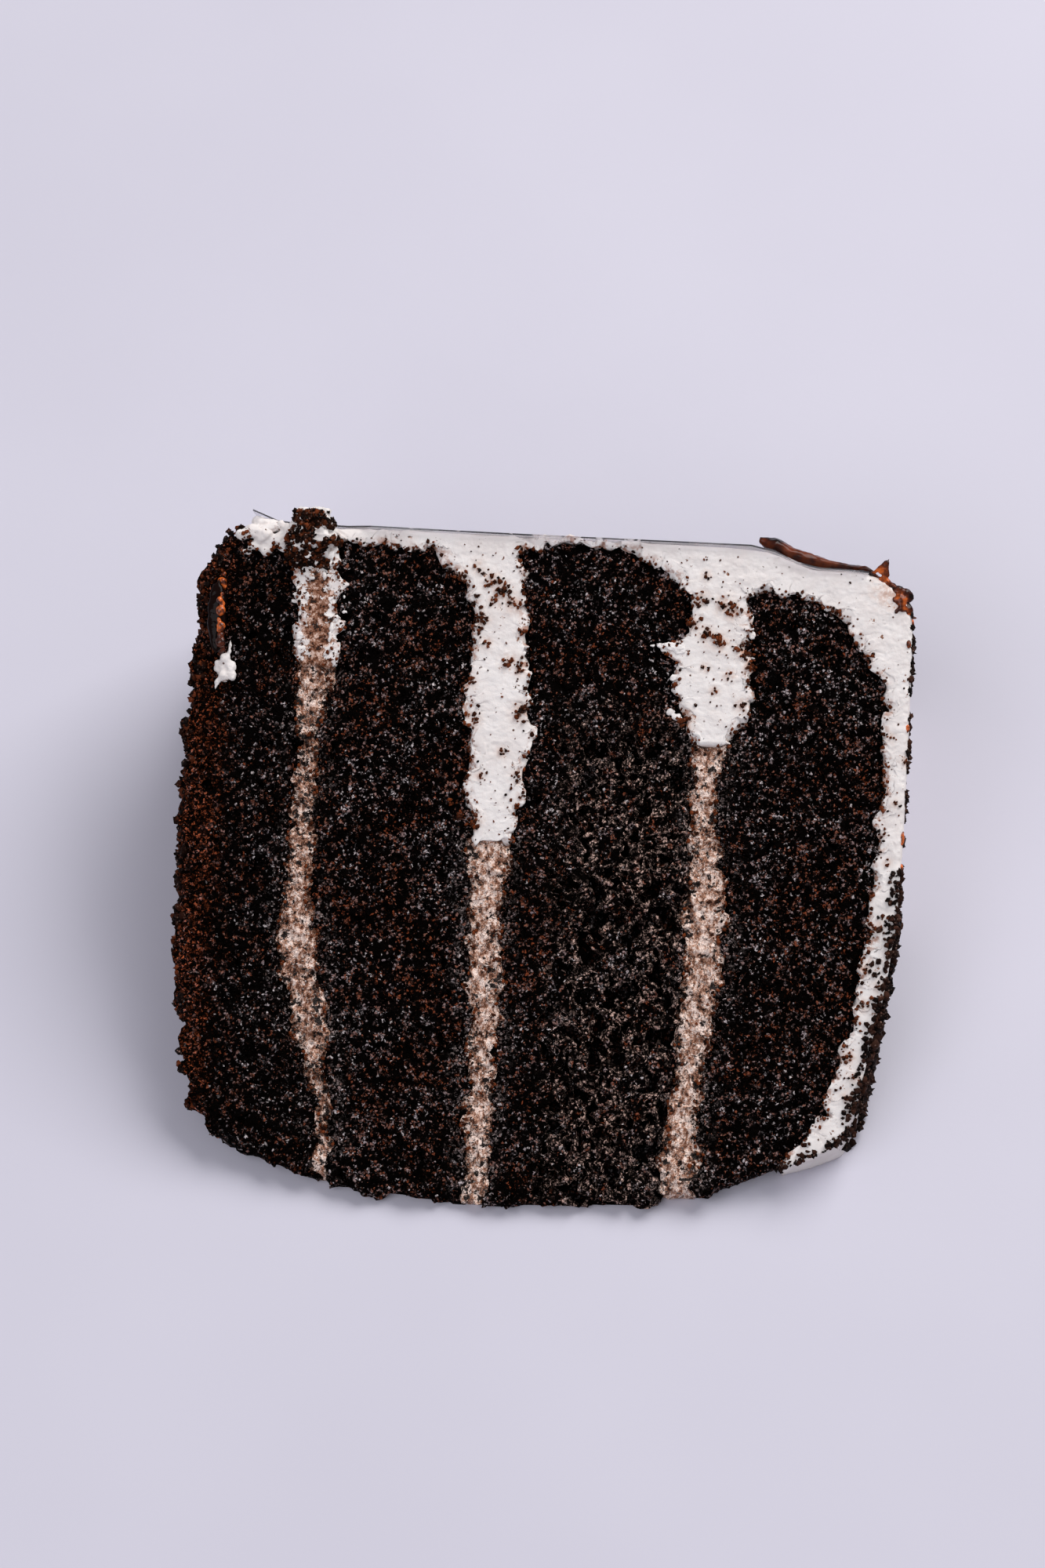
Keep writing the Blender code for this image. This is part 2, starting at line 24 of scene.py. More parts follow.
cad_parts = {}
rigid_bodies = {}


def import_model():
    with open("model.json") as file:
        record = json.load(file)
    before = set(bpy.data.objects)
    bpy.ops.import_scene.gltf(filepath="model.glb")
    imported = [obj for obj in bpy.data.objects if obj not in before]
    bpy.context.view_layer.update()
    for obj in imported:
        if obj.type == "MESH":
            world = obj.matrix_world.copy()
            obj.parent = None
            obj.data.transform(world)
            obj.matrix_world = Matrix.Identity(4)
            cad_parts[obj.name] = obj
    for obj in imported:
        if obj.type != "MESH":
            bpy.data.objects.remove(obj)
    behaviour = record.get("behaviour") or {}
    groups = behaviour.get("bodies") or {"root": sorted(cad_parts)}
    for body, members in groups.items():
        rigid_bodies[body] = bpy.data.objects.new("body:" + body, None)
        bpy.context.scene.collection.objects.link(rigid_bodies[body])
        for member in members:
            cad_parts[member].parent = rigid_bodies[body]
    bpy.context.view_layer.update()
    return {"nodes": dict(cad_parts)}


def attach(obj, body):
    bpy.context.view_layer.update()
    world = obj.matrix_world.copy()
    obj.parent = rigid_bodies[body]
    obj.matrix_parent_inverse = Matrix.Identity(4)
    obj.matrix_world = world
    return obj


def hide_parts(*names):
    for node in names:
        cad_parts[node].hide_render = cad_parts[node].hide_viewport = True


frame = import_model()

log = logging.getLogger("cake_slice")

MM = 0.001
WEDGE = math.radians(28.0)
AXIS = Vector((-4.15, -57.38, 0.0)) * MM
CUT_NORMAL = Vector((0.0, -math.sin(WEDGE), math.cos(WEDGE)))
OUTWARD = Vector((0.0, math.cos(WEDGE), math.sin(WEDGE)))
BODY = "root"

Feed = float | tuple[float, ...] | str | bpy.types.ID | bpy.types.NodeSocket
Colour = tuple[float, float, float]
Stops = Sequence[tuple[float, Colour]]


class Slot(Enum):
    """The record's material slots."""

    SPONGE = "sponge"
    FILLING = "filling"
    CREAM = "cream"
    CRUMBS = "crumbs"
    GLAZE = "glaze"
    FILM = "film"


def cut_point(height: float, radius: float, lift: float = 0.0) -> Vector:
    """A point of the upper cut.

    Args:
        height: height in the cake, in millimetres.
        radius: distance from the cake's axis, in millimetres.
        lift: how far above the cut, in millimetres.

    Returns:
        The point, in metres.
    """
    return AXIS + (Vector((height, 0.0, 0.0)) + OUTWARD * radius + CUT_NORMAL * lift) * MM


def pick(obj: bpy.types.Object) -> None:
    """Selects one object alone and makes it the active one."""
    for other in bpy.context.view_layer.objects:
        other.select_set(False)
    obj.select_set(True)
    bpy.context.view_layer.objects.active = obj


@contextmanager
def editing(obj: bpy.types.Object) -> Iterator[None]:
    """Opens an object in edit mode, with its selected faces, and closes it again."""
    pick(obj)
    bpy.context.tool_settings.mesh_select_mode = (False, False, True)
    bpy.ops.object.mode_set(mode="EDIT")
    yield
    bpy.ops.object.mode_set(mode="OBJECT")


def modify(obj: bpy.types.Object, kind: str, **settings: object) -> None:
    """Adds a modifier to an object and applies it.

    Args:
        obj: the object.
        kind: the modifier's type.
        settings: the modifier's own settings.
    """
    pick(obj)
    modifier = obj.modifiers.new(kind.lower(), kind)
    for name, value in settings.items():
        setattr(modifier, name, value)
    bpy.ops.object.modifier_apply(modifier=modifier.name)


def copied(node: str, name: str) -> bpy.types.Object:
    """A copy of a solid under a new name, with its loose triangles merged.

    Args:
        node: the solid's name.
        name: the new piece's name.

    Returns:
        The copy.
    """
    source = frame["nodes"][node]
    piece = bpy.data.objects.new(name, source.data.copy())
    piece.data.name = name
    piece.data.materials.clear()
    bpy.context.scene.collection.objects.link(piece)
    with editing(piece):
        bpy.ops.mesh.select_all(action="SELECT")
        bpy.ops.mesh.remove_doubles(threshold=0.002 * MM)
        bpy.ops.mesh.customdata_custom_splitnormals_clear()
    return piece


def swell(piece: bpy.types.Object, by: float) -> None:
    """Moves a whole closed mesh outwards along its normals, by millimetres."""
    with editing(piece):
        bpy.ops.mesh.select_all(action="SELECT")
        bpy.ops.transform.shrink_fatten(value=by * MM)


def divide_cut(piece: bpy.types.Object, cuts: int) -> None:
    """Divides the faces of the upper cut more finely than the rest.

    Args:
        piece: the remeshed piece.
        cuts: how many cuts are made across each face.
    """
    faces = piece.data.polygons
    normals = np.empty(len(faces) * 3, np.float32)
    centres = np.empty(len(faces) * 3, np.float32)
    faces.foreach_get("normal", normals)
    faces.foreach_get("center", centres)
    facing = normals.reshape(-1, 3) @ np.array(CUT_NORMAL)
    height = (centres.reshape(-1, 3) - np.array(AXIS)) @ np.array(CUT_NORMAL)
    chosen = (facing > 0.55) & (height > -3.0 * MM)
    piece.data.vertices.foreach_set("select", np.zeros(len(piece.data.vertices), bool))
    piece.data.edges.foreach_set("select", np.zeros(len(piece.data.edges), bool))
    faces.foreach_set("select", chosen)
    with editing(piece):
        bpy.ops.mesh.subdivide(number_cuts=cuts)


def place_piece(piece: bpy.types.Object, slot: Slot, *nodes: str) -> bpy.types.Object:
    """Rides a finished piece on the slice, hides the solids that it replaces and logs its triangles.

    Args:
        piece: the finished piece.
        slot: the material slot that it takes its finish from; not used.
        nodes: the solids that it replaces, if any.

    Returns:
        The piece.
    """
    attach(piece, BODY)
    if nodes:
        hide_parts(*nodes)
    triangles = sum(len(face.vertices) - 2 for face in piece.data.polygons)
    log.info("%s: %d triangles", piece.name, triangles)
    return piece


class Wiring:
    """Adds nodes to a material's or a modifier's tree, and joins them up."""

    def __init__(self, tree: bpy.types.NodeTree) -> None:
        """Keeps the tree that the nodes go into."""
        self.tree = tree

    def add(
        self, kind: str, feeds: dict[str | int, Feed] | None = None, **choices: object
    ) -> bpy.types.Node:
        """Adds one node.

        Args:
            kind: the node's type.
            feeds: what goes into its sockets, by name or number.
            choices: the node's own settings.

        Returns:
            The node.
        """
        node = self.tree.nodes.new(kind)
        for name, value in choices.items():
            setattr(node, name, value)
        for key, value in (feeds or {}).items():
            if isinstance(value, bpy.types.NodeSocket):
                self.tree.links.new(value, node.inputs[key])
            else:
                node.inputs[key].default_value = value
        return node

    def calc(self, operation: str, *values: Feed, clamp: bool = False) -> bpy.types.NodeSocket:
        """The result of a sum on numbers."""
        feeds = dict(enumerate(values))
        return self.add("ShaderNodeMath", feeds, operation=operation, use_clamp=clamp).outputs[0]

    def times(self, first: Feed, *others: Feed, clamp: bool = False) -> bpy.types.NodeSocket:
        """The product of some numbers."""
        for other in others:
            first = self.calc("MULTIPLY", first, other, clamp=clamp)
        return first

    def plus(self, first: Feed, *others: Feed) -> bpy.types.NodeSocket:
        """The sum of some numbers."""
        for other in others:
            first = self.calc("ADD", first, other)
        return first

    def minus(self, first: Feed, second: Feed) -> bpy.types.NodeSocket:
        """What is left of a number when another is taken off."""
        return self.calc("SUBTRACT", first, second)

    def vector(self, operation: str, *values: Feed) -> bpy.types.NodeSocket:
        """The vector that a sum on vectors gives."""
        feeds = dict(enumerate(values))
        return self.add("ShaderNodeVectorMath", feeds, operation=operation).outputs["Vector"]

    def scaled(self, vector: Feed, by: Feed) -> bpy.types.NodeSocket:
        """A vector times a number."""
        feeds = {"Vector": vector, "Scale": by}
        return self.add("ShaderNodeVectorMath", feeds, operation="SCALE").outputs["Vector"]

    def along(self, vector: Feed, way: Vector) -> bpy.types.NodeSocket:
        """How far a vector reaches along a fixed direction."""
        feeds = {0: vector, 1: tuple(way)}
        return self.add("ShaderNodeVectorMath", feeds, operation="DOT_PRODUCT").outputs["Value"]

    def parts(self, vector: Feed) -> Sequence[bpy.types.NodeSocket]:
        """The three parts of a vector or a colour."""
        return self.add("ShaderNodeSeparateXYZ", {0: vector}).outputs

    def span(
        self, value: Feed, start: Feed, end: Feed, low: Feed = 0.0, high: Feed = 1.0
    ) -> bpy.types.NodeSocket:
        """Eases from low to high as a value goes from start to end."""
        feeds = {"Value": value, "From Min": start, "From Max": end, "To Min": low, "To Max": high}
        return self.add("ShaderNodeMapRange", feeds, interpolation_type="SMOOTHSTEP").outputs[0]

    def noise(self, where: Feed, size: float, detail: float, roughness: float = 0.5) -> bpy.types.Node:
        """Soft noise whose lumps are about a size in millimetres across."""
        feeds = {"Vector": where, "Scale": 1 / (size * MM), "Detail": detail, "Roughness": roughness}
        return self.add("ShaderNodeTexNoise", feeds)

    def cloud(
        self, where: Feed, size: float, detail: float = 2.0, roughness: float = 0.5
    ) -> bpy.types.NodeSocket:
        """Soft noise from 0 to 1."""
        return self.noise(where, size, detail, roughness).outputs[0]

    def wave(
        self, where: Feed, size: float, detail: float = 2.0, roughness: float = 0.5
    ) -> bpy.types.NodeSocket:
        """Soft noise that goes as far below zero as above it."""
        return self.minus(self.cloud(where, size, detail, roughness), 0.5)

    def drift(self, where: Feed, size: float, reach: float, detail: float = 1.0) -> bpy.types.NodeSocket:
        """A random shift by up to a reach in millimetres, which neighbours share."""
        shift = self.vector("SUBTRACT", self.noise(where, size, detail).outputs["Color"], (0.5,) * 3)
        return self.scaled(shift, 2 * reach * MM)

    def warped(self, where: Feed, size: float, reach: float) -> bpy.types.NodeSocket:
        """Places shifted at random by up to a reach, so that what is drawn there gets uneven shapes."""
        return self.vector("ADD", where, self.drift(where, size, reach))

    def cells(self, where: Feed, size: float, feature: str = "F1") -> bpy.types.Node:
        """Random cells about a size in millimetres across."""
        feeds = {"Vector": where, "Scale": 1 / (size * MM)}
        return self.add("ShaderNodeTexVoronoi", feeds, feature=feature)

    def knobs(self, where: Feed, size: float, feature: str = "F1") -> bpy.types.NodeSocket:
        """Round bumps about a size in millimetres across, highest in their middles."""
        return self.minus(0.5, self.cells(where, size, feature).outputs["Distance"])

    def ramp(self, value: Feed, stops: Stops) -> bpy.types.NodeSocket:
        """A colour that runs through stops as a value goes from 0 to 1."""
        node = self.add("ShaderNodeValToRGB", {0: value})
        elements = node.color_ramp.elements
        while len(elements) < len(stops):
            elements.new(0.5)
        for element, (position, colour) in zip(elements, stops):
            element.position = position
            element.color = (*colour, 1.0)
        return node.outputs["Color"]

    def mix(self, share: Feed, low: Feed, high: Feed, blend: str = "MIX") -> bpy.types.NodeSocket:
        """A blend of two colours."""
        feeds = {0: share, 6: full(low), 7: full(high)}
        node = self.add("ShaderNodeMix", feeds, data_type="RGBA", blend_type=blend)
        return node.outputs[2]


def full(colour: Feed) -> Feed:
    """A plain colour with its fourth part, or the socket itself."""
    return (*colour, 1.0) if isinstance(colour, tuple) else colour


class Relief(Wiring):
    """A geometry tree that shapes a mesh's surface and keeps what its finish needs to know."""

    def __init__(self, name: str) -> None:
        """Starts the tree with the places of the points and how near they are to the cut."""
        tree = bpy.data.node_groups.new(name, "GeometryNodeTree")
        for way in ("INPUT", "OUTPUT"):
            tree.interface.new_socket("Geometry", in_out=way, socket_type="NodeSocketGeometry")
        super().__init__(tree)
        self.shape = self.add("NodeGroupInput").outputs[0]
        self.place = self.add("GeometryNodeInputPosition").outputs[0]
        self.normal = self.add("GeometryNodeInputNormal").outputs[0]
        from_axis = self.vector("SUBTRACT", self.place, tuple(AXIS))
        self.over_cut = self.along(from_axis, CUT_NORMAL)
        self.radius = self.along(from_axis, OUTWARD)
        self.x, _, self.z = self.parts(self.place)[:3]
        self.on_cut = self.span(self.over_cut, -2.4 * MM, -0.9 * MM)
        self.off_table = self.span(self.z, 0.3 * MM, 1.8 * MM)
        self.open_cut = self.times(self.on_cut, self.off_table)
        self.skin = self.times(self.minus(1.0, self.on_cut), self.off_table)

    def keep(self, name: str, value: Feed, kind: str = "FLOAT") -> None:
        """Stores a value on the points under a name."""
        feeds = {"Geometry": self.shape, "Name": name, "Value": value}
        node = self.add("GeometryNodeStoreNamedAttribute", feeds, data_type=kind, domain="POINT")
        self.shape = node.outputs[0]

    def distance(self, *nodes: str) -> bpy.types.NodeSocket:
        """Distance from each point to the nearest of some solids, in millimetres."""
        joined = self.add("GeometryNodeJoinGeometry")
        for node in nodes:
            info = self.add("GeometryNodeObjectInfo", {"Object": frame["nodes"][node]})
            self.tree.links.new(info.outputs["Geometry"], joined.inputs[0])
        near = self.add("GeometryNodeProximity", {0: joined.outputs[0]}, target_element="FACES")
        return self.calc("DIVIDE", near.outputs["Distance"], MM)

    def away(self, place: Vector) -> bpy.types.NodeSocket:
        """Distance from each point to one place, in metres."""
        feeds = {0: self.place, 1: tuple(place)}
        return self.add("ShaderNodeVectorMath", feeds, operation="DISTANCE").outputs["Value"]

    def ragged(self) -> bpy.types.NodeSocket:
        """The shared wander of the borders between the layers, near the cut."""
        wander = self.vector("ADD", self.drift(self.place, 1.0, 0.9, 2.0), self.drift(self.place, 2.8, 2.2))
        wander = self.vector("ADD", wander, self.drift(self.place, 7.0, 0.9))
        across = self.scaled(tuple(CUT_NORMAL), self.along(wander, CUT_NORMAL))
        wander = self.vector("SUBTRACT", wander, across)
        for height, radius, pull, reach in BORDER_PULLS:
            share = self.span(self.away(cut_point(height, radius)), reach * MM, 0.0)
            wander = self.vector("ADD", wander, self.scaled((pull * MM, 0.0, 0.0), share))
        band = self.span(self.over_cut, -5.0 * MM, -1.5 * MM)
        return self.scaled(wander, self.times(band, self.off_table))

    def lift(self, height: Feed, share: Feed = 1.0) -> bpy.types.NodeSocket:
        """A move square to the cut, by a height in millimetres."""
        metres = self.times(height, MM, share)
        return self.scaled(tuple(CUT_NORMAL), metres)

    def bulge(self, height: Feed, share: Feed = 1.0) -> bpy.types.NodeSocket:
        """A move along the surface's own normal, by a height in millimetres."""
        metres = self.times(height, MM, share)
        return self.scaled(self.normal, metres)

    def move(self, *offsets: Feed) -> None:
        """Moves the points by the sum of some offsets, never below the table."""
        total = offsets[0]
        for offset in offsets[1:]:
            total = self.vector("ADD", total, offset)
        moved = self.vector("MAXIMUM", self.vector("ADD", self.place, total), (-1.0, -1.0, 0.0))
        feeds = {"Geometry": self.shape, "Position": moved}
        self.shape = self.add("GeometryNodeSetPosition", feeds).outputs[0]

    def press(self, piece: bpy.types.Object) -> None:
        """Applies the relief to a piece, keeps the final places and smooths the shading."""
        self.keep("rest", self.place, "FLOAT_VECTOR")
        self.add("NodeGroupOutput", {0: self.shape})
        modify(piece, "NODES", node_group=self.tree)
        bpy.data.node_groups.remove(self.tree)
        piece.data.shade_smooth()


class Paint(Wiring):
    """A material's tree round its main shader."""

    def __init__(self, name: str) -> None:
        """Starts a new material."""
        self.material = bpy.data.materials.new(name)
        self.material.use_nodes = True
        super().__init__(self.material.node_tree)
        self.shader = self.tree.nodes["Principled BSDF"]

    def kept(self, name: str, part: str = "Fac") -> bpy.types.NodeSocket:
        """Reads what was stored on the points under a name."""
        return self.add("ShaderNodeAttribute", attribute_name=name).outputs[part]

    def specks(
        self, where: Feed, size: float, rim: float, core: float = 0.15
    ) -> tuple[bpy.types.NodeSocket, ...]:
        """Random specks, each with its own numbers.

        Args:
            where: places on the piece.
            size: how far apart the specks are, in millimetres.
            rim: where a speck ends, as a share of that.
            core: where it is full, as a share of that.

        Returns:
            Three random numbers for each speck, then how full it is at each place.
        """
        cells = self.cells(where, size)
        full_share = self.span(cells.outputs["Distance"], rim, core)
        return *self.parts(cells.outputs["Color"]), full_share

    def rough(self, height: Feed, depth: float, strength: float = 1.0) -> None:
        """Adds fine relief of a depth in millimetres to the shading."""
        feeds = {"Height": height, "Distance": depth * MM, "Strength": strength}
        self.tree.links.new(self.add("ShaderNodeBump", feeds).outputs[0], self.shader.inputs["Normal"])

    def coat(self, **feeds: Feed) -> bpy.types.Material:
        """Sets the shader's sockets and gives the finished material.

        Args:
            feeds: what goes into each socket, its name with _ for a space.

        Returns:
            The material.
        """
        for name, value in feeds.items():
            socket = self.shader.inputs[name.replace("_", " ")]
            if isinstance(value, bpy.types.NodeSocket):
                self.tree.links.new(value, socket)
            else:
                socket.default_value = full(value) if socket.type == "RGBA" else value
        return self.material


# The sponge's grains, from reddish brown to pale grey; the pale grey end is painted glints, highlights of
# the moist crumb put into its colour.
GRAIN_AND_GLINT_TINTS: Stops = (
    (0.0, (0.20, 0.048, 0.020)), (0.30, (0.22, 0.085, 0.055)), (0.60, (0.25, 0.150, 0.135)),
    (0.88, (0.32, 0.26, 0.27)), (1.0, (0.60, 0.53, 0.53)),
)
# Painted glint: the colour of rare pale specks that stand in for highlights on the moist crumb.
PAINTED_GLINT: Colour = (0.55, 0.48, 0.47)
TOASTED: tuple[Colour, Colour] = ((0.003, 0.0011, 0.0007), (0.56, 0.125, 0.045))
SMEARED_FILLING: Colour = (0.40, 0.31, 0.29)
WEB_TINT: Colour = (0.62, 0.42, 0.35)
# Painted shade in the pores: near black where the crumb is sunk.
PAINTED_PORE_SHADE: Colour = (0.0008, 0.0005, 0.0004)

# The filling, from its dark crumbs to its palest cream.
FILLING_TINTS: Stops = (
    (0.35, (0.010, 0.003, 0.0015)), (0.405, (0.12, 0.038, 0.016)), (0.455, (0.31, 0.132, 0.074)),
    (0.505, (0.60, 0.335, 0.23)), (0.56, (0.98, 0.77, 0.67)),
)
# White flecks of cream in the filling, partly painted highlights on its moist grain.
FILLING_FLECK_AND_GLINT: Colour = (0.95, 0.81, 0.74)
FILLING_DARK: Colour = (0.010, 0.004, 0.002)

# Filling and crumbs that were smeared into the cream.
MUD_TINTS: Stops = (
    (0.40, (0.015, 0.005, 0.002)), (0.46, (0.16, 0.052, 0.022)), (0.53, (0.30, 0.150, 0.095)),
    (0.60, (0.66, 0.47, 0.39)),
)
CREAM_SHADE: Colour = (0.765, 0.705, 0.678)
CREAM_SPECK: Colour = (0.08, 0.025, 0.010)
TIDE_TINT: Colour = (0.30, 0.085, 0.022)
STAIN_TINTS: tuple[Colour, Colour] = ((0.66, 0.40, 0.27), (0.36, 0.10, 0.025))


@dataclass(frozen=True)
class CrumbFinish:
    """Torn, moist chocolate sponge: black, with fine brown grains and painted glints, pale specks of colour
    that stand in for highlights.
    """

    name: str
    crust: float = 0.0
    smudge: float = 0.5
    webs: float = 0.0
    dark: Colour = (0.0012, 0.0006, 0.0005)
    grain: float = 0.39
    bright: float = 0.85

    def material(self) -> bpy.types.Material:
        """The finish as a material that follows the grains of the relief."""
        paint = Paint(self.name)
        where = paint.kept("rest", "Vector")
        draw, hue, second, dot = paint.specks(paint.warped(where, 0.5, 0.45), self.grain, 0.72)
        power = paint.span(paint.cloud(where, 1.5, 3.0, 0.6), 0.38, 0.60, 26.0, 2.2)
        light = paint.times(paint.calc("POWER", draw, power), dot)
        warm = paint.span(paint.cloud(where, 9.0, 2.0), 0.35, 0.65, -0.22, 0.22)
        # Real brown grains, and at the ramp's pale end painted glints.
        tint = paint.ramp(paint.plus(hue, warm), GRAIN_AND_GLINT_TINTS)
        share = paint.times(light, self.bright * 4.0, clamp=True)
        colour = paint.mix(share, self.dark, tint)
        # Painted glints: rare pale specks that stand in for highlights.
        glint = paint.times(paint.span(second, 0.982, 0.994), dot)
        colour = paint.mix(glint, colour, PAINTED_GLINT)
        toasted = paint.mix(paint.calc("POWER", draw, 3.8), *TOASTED)
        baked = paint.times(paint.kept("crust"), dot, self.crust)
        colour = paint.mix(baked, colour, toasted)
        near = paint.span(paint.kept("to_filling"), 3.6, 0.0)
        smear = paint.times(near, paint.span(paint.cloud(where, 4.5, 3.0, 0.6), 0.40, 0.62))
        smear = paint.times(smear, paint.span(second, 1.0 - self.smudge, 1.1 - self.smudge), dot)
        colour = paint.mix(smear, colour, SMEARED_FILLING)
        web = paint.times(paint.kept("web"), paint.calc("POWER", draw, 2.4), dot)
        colour = paint.mix(paint.times(web, self.webs, clamp=True), colour, WEB_TINT)
        # Painted shade: the sunk pores are darkened towards black.
        colour = paint.mix(paint.times(paint.kept("sunk"), 0.9), colour, PAINTED_PORE_SHADE)
        fine = paint.cloud(where, 0.22, 2.0, 0.6)
        paint.rough(paint.plus(dot, fine), 0.16, 1.0)
        return paint.coat(Base_Color=colour, Roughness=0.6, Specular_IOR_Level=0.012)


@dataclass(frozen=True)
class FillingFinish:
    """Whipped chocolate filling: beige and pink-brown, blotched with dark crumbs and with white flecks that
    are partly painted highlights.
    """

    name: str
    tone: float = 0.008

    def material(self) -> bpy.types.Material:
        """The finish as a material with streaks that run along the layer."""
        paint = Paint(self.name)
        where = paint.kept("rest", "Vector")
        streaked = paint.vector("MULTIPLY", where, (1.3, 0.85, 0.85))
        blotch = paint.plus(paint.cloud(streaked, 1.6, 5.0, 0.8), self.tone)
        body = paint.ramp(blotch, FILLING_TINTS)
        draw, hue, _, dot = paint.specks(paint.warped(where, 0.5, 0.45), 0.38, 0.65)
        # White specks: partly flecks of cream, partly painted highlights.
        white = paint.times(paint.span(draw, 0.62, 0.88), dot)
        body = paint.mix(white, body, FILLING_FLECK_AND_GLINT)
        side = paint.span(paint.kept("to_sponge"), 2.4, 0.2)
        wanted = paint.span(paint.plus(hue, paint.times(side, 0.45)), 0.80, 0.92)
        lumps = paint.plus(paint.cloud(where, 1.2, 3.0, 0.65), paint.times(side, 0.10))
        dark = paint.calc("MAXIMUM", paint.times(wanted, dot), paint.span(lumps, 0.60, 0.66))
        body = paint.mix(dark, body, FILLING_DARK)
        fine = paint.cloud(where, 0.3, 3.0, 0.6)
        paint.rough(paint.plus(fine, paint.times(dot, 0.6)), 0.25, 1.0)
        return paint.coat(Base_Color=body, Roughness=0.4, Specular_IOR_Level=0.3)


@dataclass(frozen=True)
class CreamFinish:
    """White whipped cream with a fine grain, stained by crumbs, filling and glaze."""

    name: str
    white: Colour = (0.83, 0.78, 0.755)

    def material(self) -> bpy.types.Material:
        """The finish as a material with brown stains where crumbs touch it."""
        paint = Paint(self.name)
        where = paint.kept("rest", "Vector")
        tone = paint.cloud(where, 5.0, 4.0, 0.6)
        body = paint.mix(paint.span(tone, 0.35, 0.65), CREAM_SHADE, self.white)
        body = self.muddied(paint, where, body)
        draw, _, _, dot = paint.specks(where, 0.5, 0.5, 0.2)
        side = paint.span(paint.kept("to_sponge"), 1.5, 0.1)
        chance = paint.plus(draw, paint.times(side, 0.22))
        body = paint.mix(paint.times(paint.span(chance, 0.985, 0.995), dot), body, CREAM_SPECK)
        tide = paint.times(side, paint.span(paint.cloud(where, 1.0, 3.0, 0.6), 0.46, 0.64))
        body = paint.mix(paint.times(tide, 0.8), body, TIDE_TINT)
        wander = paint.span(paint.cloud(where, 0.9, 3.0, 0.7), 0.35, 0.6, 0.15, 1.0)
        stain = paint.times(paint.kept("stain"), wander)
        body = paint.mix(stain, body, paint.mix(stain, *STAIN_TINTS))
        fine = paint.cloud(where, 0.45, 4.0, 0.7)
        paint.rough(fine, 0.14, 0.6)
        paint.coat(Subsurface_Weight=0.08, Subsurface_Scale=0.0015, Subsurface_Radius=(1.0, 0.8, 0.7))
        return paint.coat(Base_Color=body, Roughness=0.62, Specular_IOR_Level=0.18)

    @staticmethod
    def muddied(paint: Paint, where: Feed, body: Feed) -> bpy.types.NodeSocket:
        """Mixes filling and crumbs into the cream where the first ring was smeared.

        Args:
            paint: the material's tree.
            where: places on the piece.
            body: the cream's colour.

        Returns:
            The mixed colour.
        """
        mud = paint.kept("mud")
        blotch = paint.cloud(where, 1.0, 4.0, 0.75)
        filling = paint.ramp(blotch, MUD_TINTS)
        edge = paint.plus(mud, paint.times(paint.wave(where, 1.9, 4.0, 0.75), 3.4))
        return paint.mix(paint.span(edge, 0.46, 0.60), body, filling)


@dataclass(frozen=True)
class LooseCrumbFinish:
    """Loose crumbs, each of its own shade, from black biscuit to moist brown sponge."""

    name: str
    dark: Colour = (0.004, 0.0022, 0.002)
    light: Colour = (0.05, 0.024, 0.016)

    def material(self) -> bpy.types.Material:
        """The finish as a material with a shade for each crumb."""
        paint = Paint(self.name)
        where = paint.kept("rest", "Vector")
        shade = paint.kept("shade")
        draw, _, _, dot = paint.specks(where, 0.36, 0.6)
        body = paint.mix(shade, self.dark, self.light)
        light = paint.times(paint.calc("POWER", draw, 7.0), dot)
        body = paint.mix(light, body, (0.25, 0.15, 0.12))
        paint.rough(paint.cloud(where, 0.25, 3.0, 0.6), 0.2, 0.9)
        return paint.coat(Base_Color=body, Roughness=0.6, Specular_IOR_Level=0.05)


@dataclass(frozen=True)
class GlazeFinish:
    """Set chocolate glaze: dark and glossy, and amber where it is thin."""

    name: str
    thin: float = 0.01
    patch: float = 4.0
    gloss: float = 0.16
    amber: Colour = (0.66, 0.135, 0.022)

    def material(self) -> bpy.types.Material:
        """The finish as a glossy material that is patchily amber."""
        paint = Paint(self.name)
        where = paint.kept("rest", "Vector")
        tone = paint.plus(paint.cloud(where, self.patch, 3.0, 0.6), self.thin)
        body = paint.ramp(tone, (
            (0.42, (0.006, 0.002, 0.0015)), (0.51, (0.038, 0.008, 0.004)), (0.60, (0.11, 0.022, 0.007)),
            (0.74, self.amber),
        ))
        paint.rough(paint.cloud(where, 0.9, 2.0, 0.5), 0.15, 0.35)
        gloss = paint.span(tone, 0.4, 0.7, 0.10, 0.18)
        return paint.coat(Base_Color=body, Roughness=gloss, Specular_IOR_Level=self.gloss)


@dataclass(frozen=True)
class FilmFinish:
    """Clear collar film, faintly clouded by the cream behind it."""

    name: str

    def material(self) -> bpy.types.Material:
        """The finish as a clear material with soft smudges."""
        paint = Paint(self.name)
        where = paint.kept("rest", "Vector")
        haze = paint.cloud(where, 9.0, 3.0, 0.6)
        gloss = paint.span(haze, 0.4, 0.7, 0.04, 0.16)
        body = paint.mix(haze, (0.93, 0.92, 0.96), (0.86, 0.84, 0.90))
        paint.rough(paint.cloud(where, 14.0, 2.0), 0.5, 0.3)
        return paint.coat(Base_Color=body, Roughness=gloss, Transmission_Weight=0.96, IOR=1.42)


@dataclass(frozen=True)
class TableFinish:
    """Plain pale table with the faintest unevenness."""

    name: str

    def material(self) -> bpy.types.Material:
        """The finish as a matt material."""
        paint = Paint(self.name)
        where = paint.add("ShaderNodeTexCoord").outputs["Object"]
        tone = paint.cloud(where, 90.0, 3.0, 0.5)
        body = paint.mix(paint.span(tone, 0.3, 0.7), (0.56, 0.542, 0.62), (0.58, 0.562, 0.64))
        paint.rough(paint.cloud(where, 1.2, 3.0, 0.6), 0.05, 0.2)
        return paint.coat(Base_Color=body, Roughness=0.55, Specular_IOR_Level=0.2)


